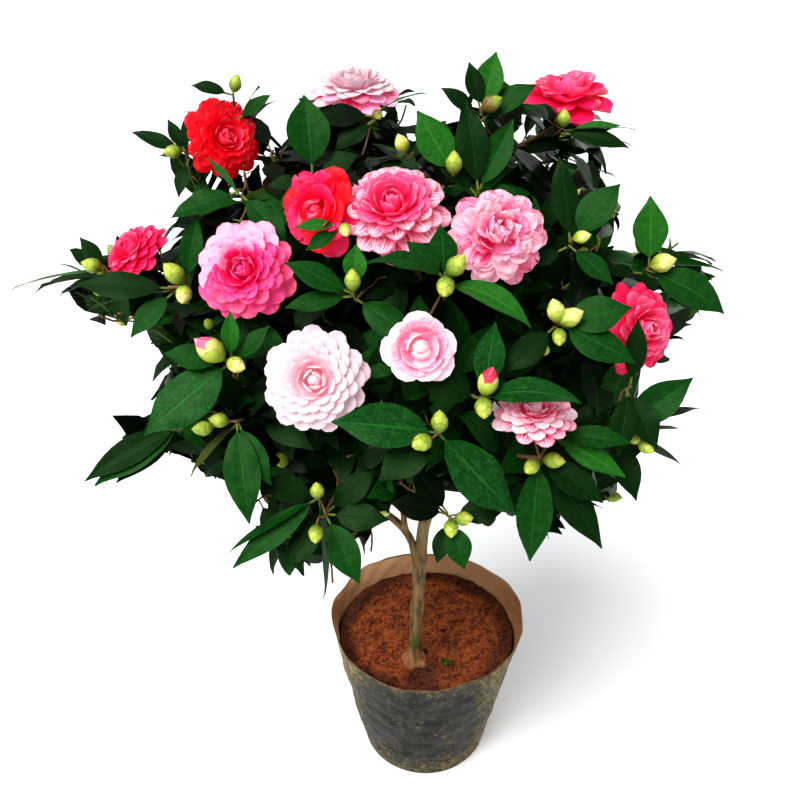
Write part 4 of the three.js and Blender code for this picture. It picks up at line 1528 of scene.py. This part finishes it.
def thinPlaces(viewpoint, dice):    # spots inside the masses that no leaf covers, seen from there
    ahead = unit(crownMid - viewpoint)
    side = unit(np.cross(ahead, skyward))
    above = np.cross(side, ahead)
    onBlooms = [centre + way * radius * share for centre, axis, radius in bloomSpots
                if np.dot(axis, viewpoint - centre) > 0
                for way in (right, -right, sightUp, -sightUp) for share in (0, 0.3, 0.6, 0.85)]
    count = filling["squares"]

    def squares(points):
        gap = points - viewpoint
        deep = gap @ ahead
        places = np.stack([gap @ side / deep, gap @ above / deep], 1) / filling["square"]
        return np.clip(np.round(places).astype(int) + count // 2, 2, count - 3)

    seen = np.zeros((count, count), bool)
    for points in [*leafCover, np.array(onBlooms)]:
        at = squares(points)
        seen[at[:, 0], at[:, 1]] = True
    tries = []
    for mid, half in zip(massMids, massHalves):
        ways = units(dice.normal(size=(filling["looks"], 3)))
        tries.append(mid + half * ways * dice.uniform(*filling["lookReach"], (filling["looks"], 1)))
    tries = np.concatenate(tries)
    dice.shuffle(tries)
    found = []
    for spot, (i, j) in zip(tries, squares(tries)):
        if not (seen[i, j] or seen[i - 1:i + 2, j - 1:j + 2].sum() > 6 or inOpenSky([spot])):
            seen[i - 2:i + 3, j - 2:j + 3] = True
            found.append(spot)
    return found


def placeMoreBlooms(tips, dice):    # blooms of the same kinds on the sides and the back
    chosen = []
    spots = [centre for centre, _, _ in bloomSpots]
    for k in dice.permutation([k for k, (_, _, inner) in enumerate(tips) if not inner]):
        spot = tips[k][0]
        if len(chosen) == moreBlooms["most"]:
            break
        away = (spot - crownMid) / crownHalf
        tooFront = abs(turnOf(spot)) < moreBlooms["turn"]
        tooWide = abs(away[0]) > moreBlooms["aside"]
        wrongHeight = away[2] > moreBlooms["above"] or spot[2] < crownMid[2] - filling["hollow"]
        if tooFront or tooWide or wrongHeight or crownReach(spot) < moreBlooms["reach"]:
            continue
        if min(np.linalg.norm(spot - other) for other in spots) < moreBlooms["space"]:
            continue
        spots.append(spot)
        chosen.append(k)
    for place, k in enumerate(chosen):
        _, size, _, kind, colour, tints = blooms[moreBlooms["like"][place % len(moreBlooms["like"])]]
        spot, outward, _ = tips[k]
        axis = unit(outward + skyward * 0.25)
        centre = spot + outward * 0.012
        size = size / 100
        foot = addBloom(colour, centre, axis, size * dice.uniform(*moreBlooms["size"]), kind, tints, dice)
        bloomSpots.append((centre, axis, size / 2))
        keepClear.append((centre, centre + axis * 0.06, size / 2, 0))
        targets.append((foot, axis, "bloomSpray"))
    return chosen


def growSprays(tips, dice):    # those nearest to the limbs come first
    limbSpots = np.array(wood.spot)
    work = targets + [(spot, unit(outward * 0.75 + skyward * 0.35), "inner" if inner else "outer")
                      for spot, outward, inner in tips]
    work.sort(key=lambda row: float(np.min(np.linalg.norm(limbSpots - row[0], axis=1))))
    for tip, heading, finish in work:
        made = wood.reachFor(tip, heading, dice)
        if finish in ("outer", "inner"):
            if leafySpray(tip, heading, made, finish == "inner", dice) < 2:
                wood.forget(made)
            elif finish == "outer" and dice.random() < filling["budShare"]:
                if hides([tip + heading * 0.02], 0.01):
                    continue
                kind = ["green", "lime", "pale"][dice.integers(3)]
                size = dice.uniform(*filling["budSize"])
                if inBox(tip + heading * size * 1.1):
                    addBud(tip, heading, size, budTints[kind], dice)
        elif finish == "bloomSpray" or finish in blooms:
            under = spray["bloom" if finish in blooms else "underBloom"]
            leafySpray(tip, heading, made, False, dice, *under)
        elif finish in leadingShoots:
            leafySpray(tip - heading * 0.03, heading, made[:-1], False, dice, *spray["shoot"])


def fillThinPlaces(viewpoint, dice):
    spots = thinPlaces(viewpoint, dice)
    for spot in spots:
        outward = unit(outwardAt(spot) + skyward * 0.4 + dice.normal(0, 0.3, 3))
        for deeper in filling["deeper"]:    # where the way is kept clear, farther back
            tip = spot + unit(spot - viewpoint) * deeper
            if crownReach(tip) > 0.9:
                break
            made = wood.reachFor(tip, outward, dice)
            if leafySpray(tip, outward, made, True, dice, reach=0.93) > 1:
                break
            wood.forget(made)
    print(f"{len(spots)} thin places")


def fillCrown():
    dice = np.random.default_rng(filling["seed"])
    tips = [(behindTheFront(spot), outward, inner) for spot, outward, inner in dealTips(dice)]
    chosen = placeMoreBlooms(tips, dice)
    growSprays([tip for k, tip in enumerate(tips) if k not in chosen], dice)
    viewpoints = [eye] + [crownMid + facing(turn, filling["lookLift"]) * filling["lookAway"]
                          for turn in filling["lookTurns"]]
    for viewpoint in viewpoints * filling["rounds"]:
        fillThinPlaces(viewpoint, dice)
    print(f"{len(tips)} sprays, {len(chosen)} more blooms, {leafCount['leaves']} leaves")


fillCrown()
wood.build(twigPile)


# a weed on the soil

weed = dict(place=(0.023, -0.062), leaves=7, stalk=0.004, length=(0.006, 0.009), width=(0.0026, 0.004))


def growWeed():
    dice = np.random.default_rng(5)
    foot = np.array([*weed["place"], soil["level"] - 0.001])
    for k in range(weed["leaves"]):
        way = unit([math.cos(k * goldenTurn), math.sin(k * goldenTurn), dice.uniform(0.4, 1.2)])
        shape = leafShape(dice, stalk=weed["stalk"])
        length = dice.uniform(*weed["length"])
        addLeaf(foot, way, skyward, length, dice.uniform(*weed["width"]), "olive", shape)


growWeed()
leafPaint = paintLeaf()
for k, pile in enumerate(leafPiles):
    pile.piece(f"leaves_{k + 1}", leafPaint, "foliage", crownNodes)
twigPile.piece("twigs", paintTwig(), "bark", crownNodes)
petalPaint = paintPetal()
for colour, pile in petalPiles.items():
    pile.piece(f"blooms_{colour}", petalPaint, "foliage")
scalePile.piece("buds_and_cups", paintScale(), "foliage")
print("the crown is built")
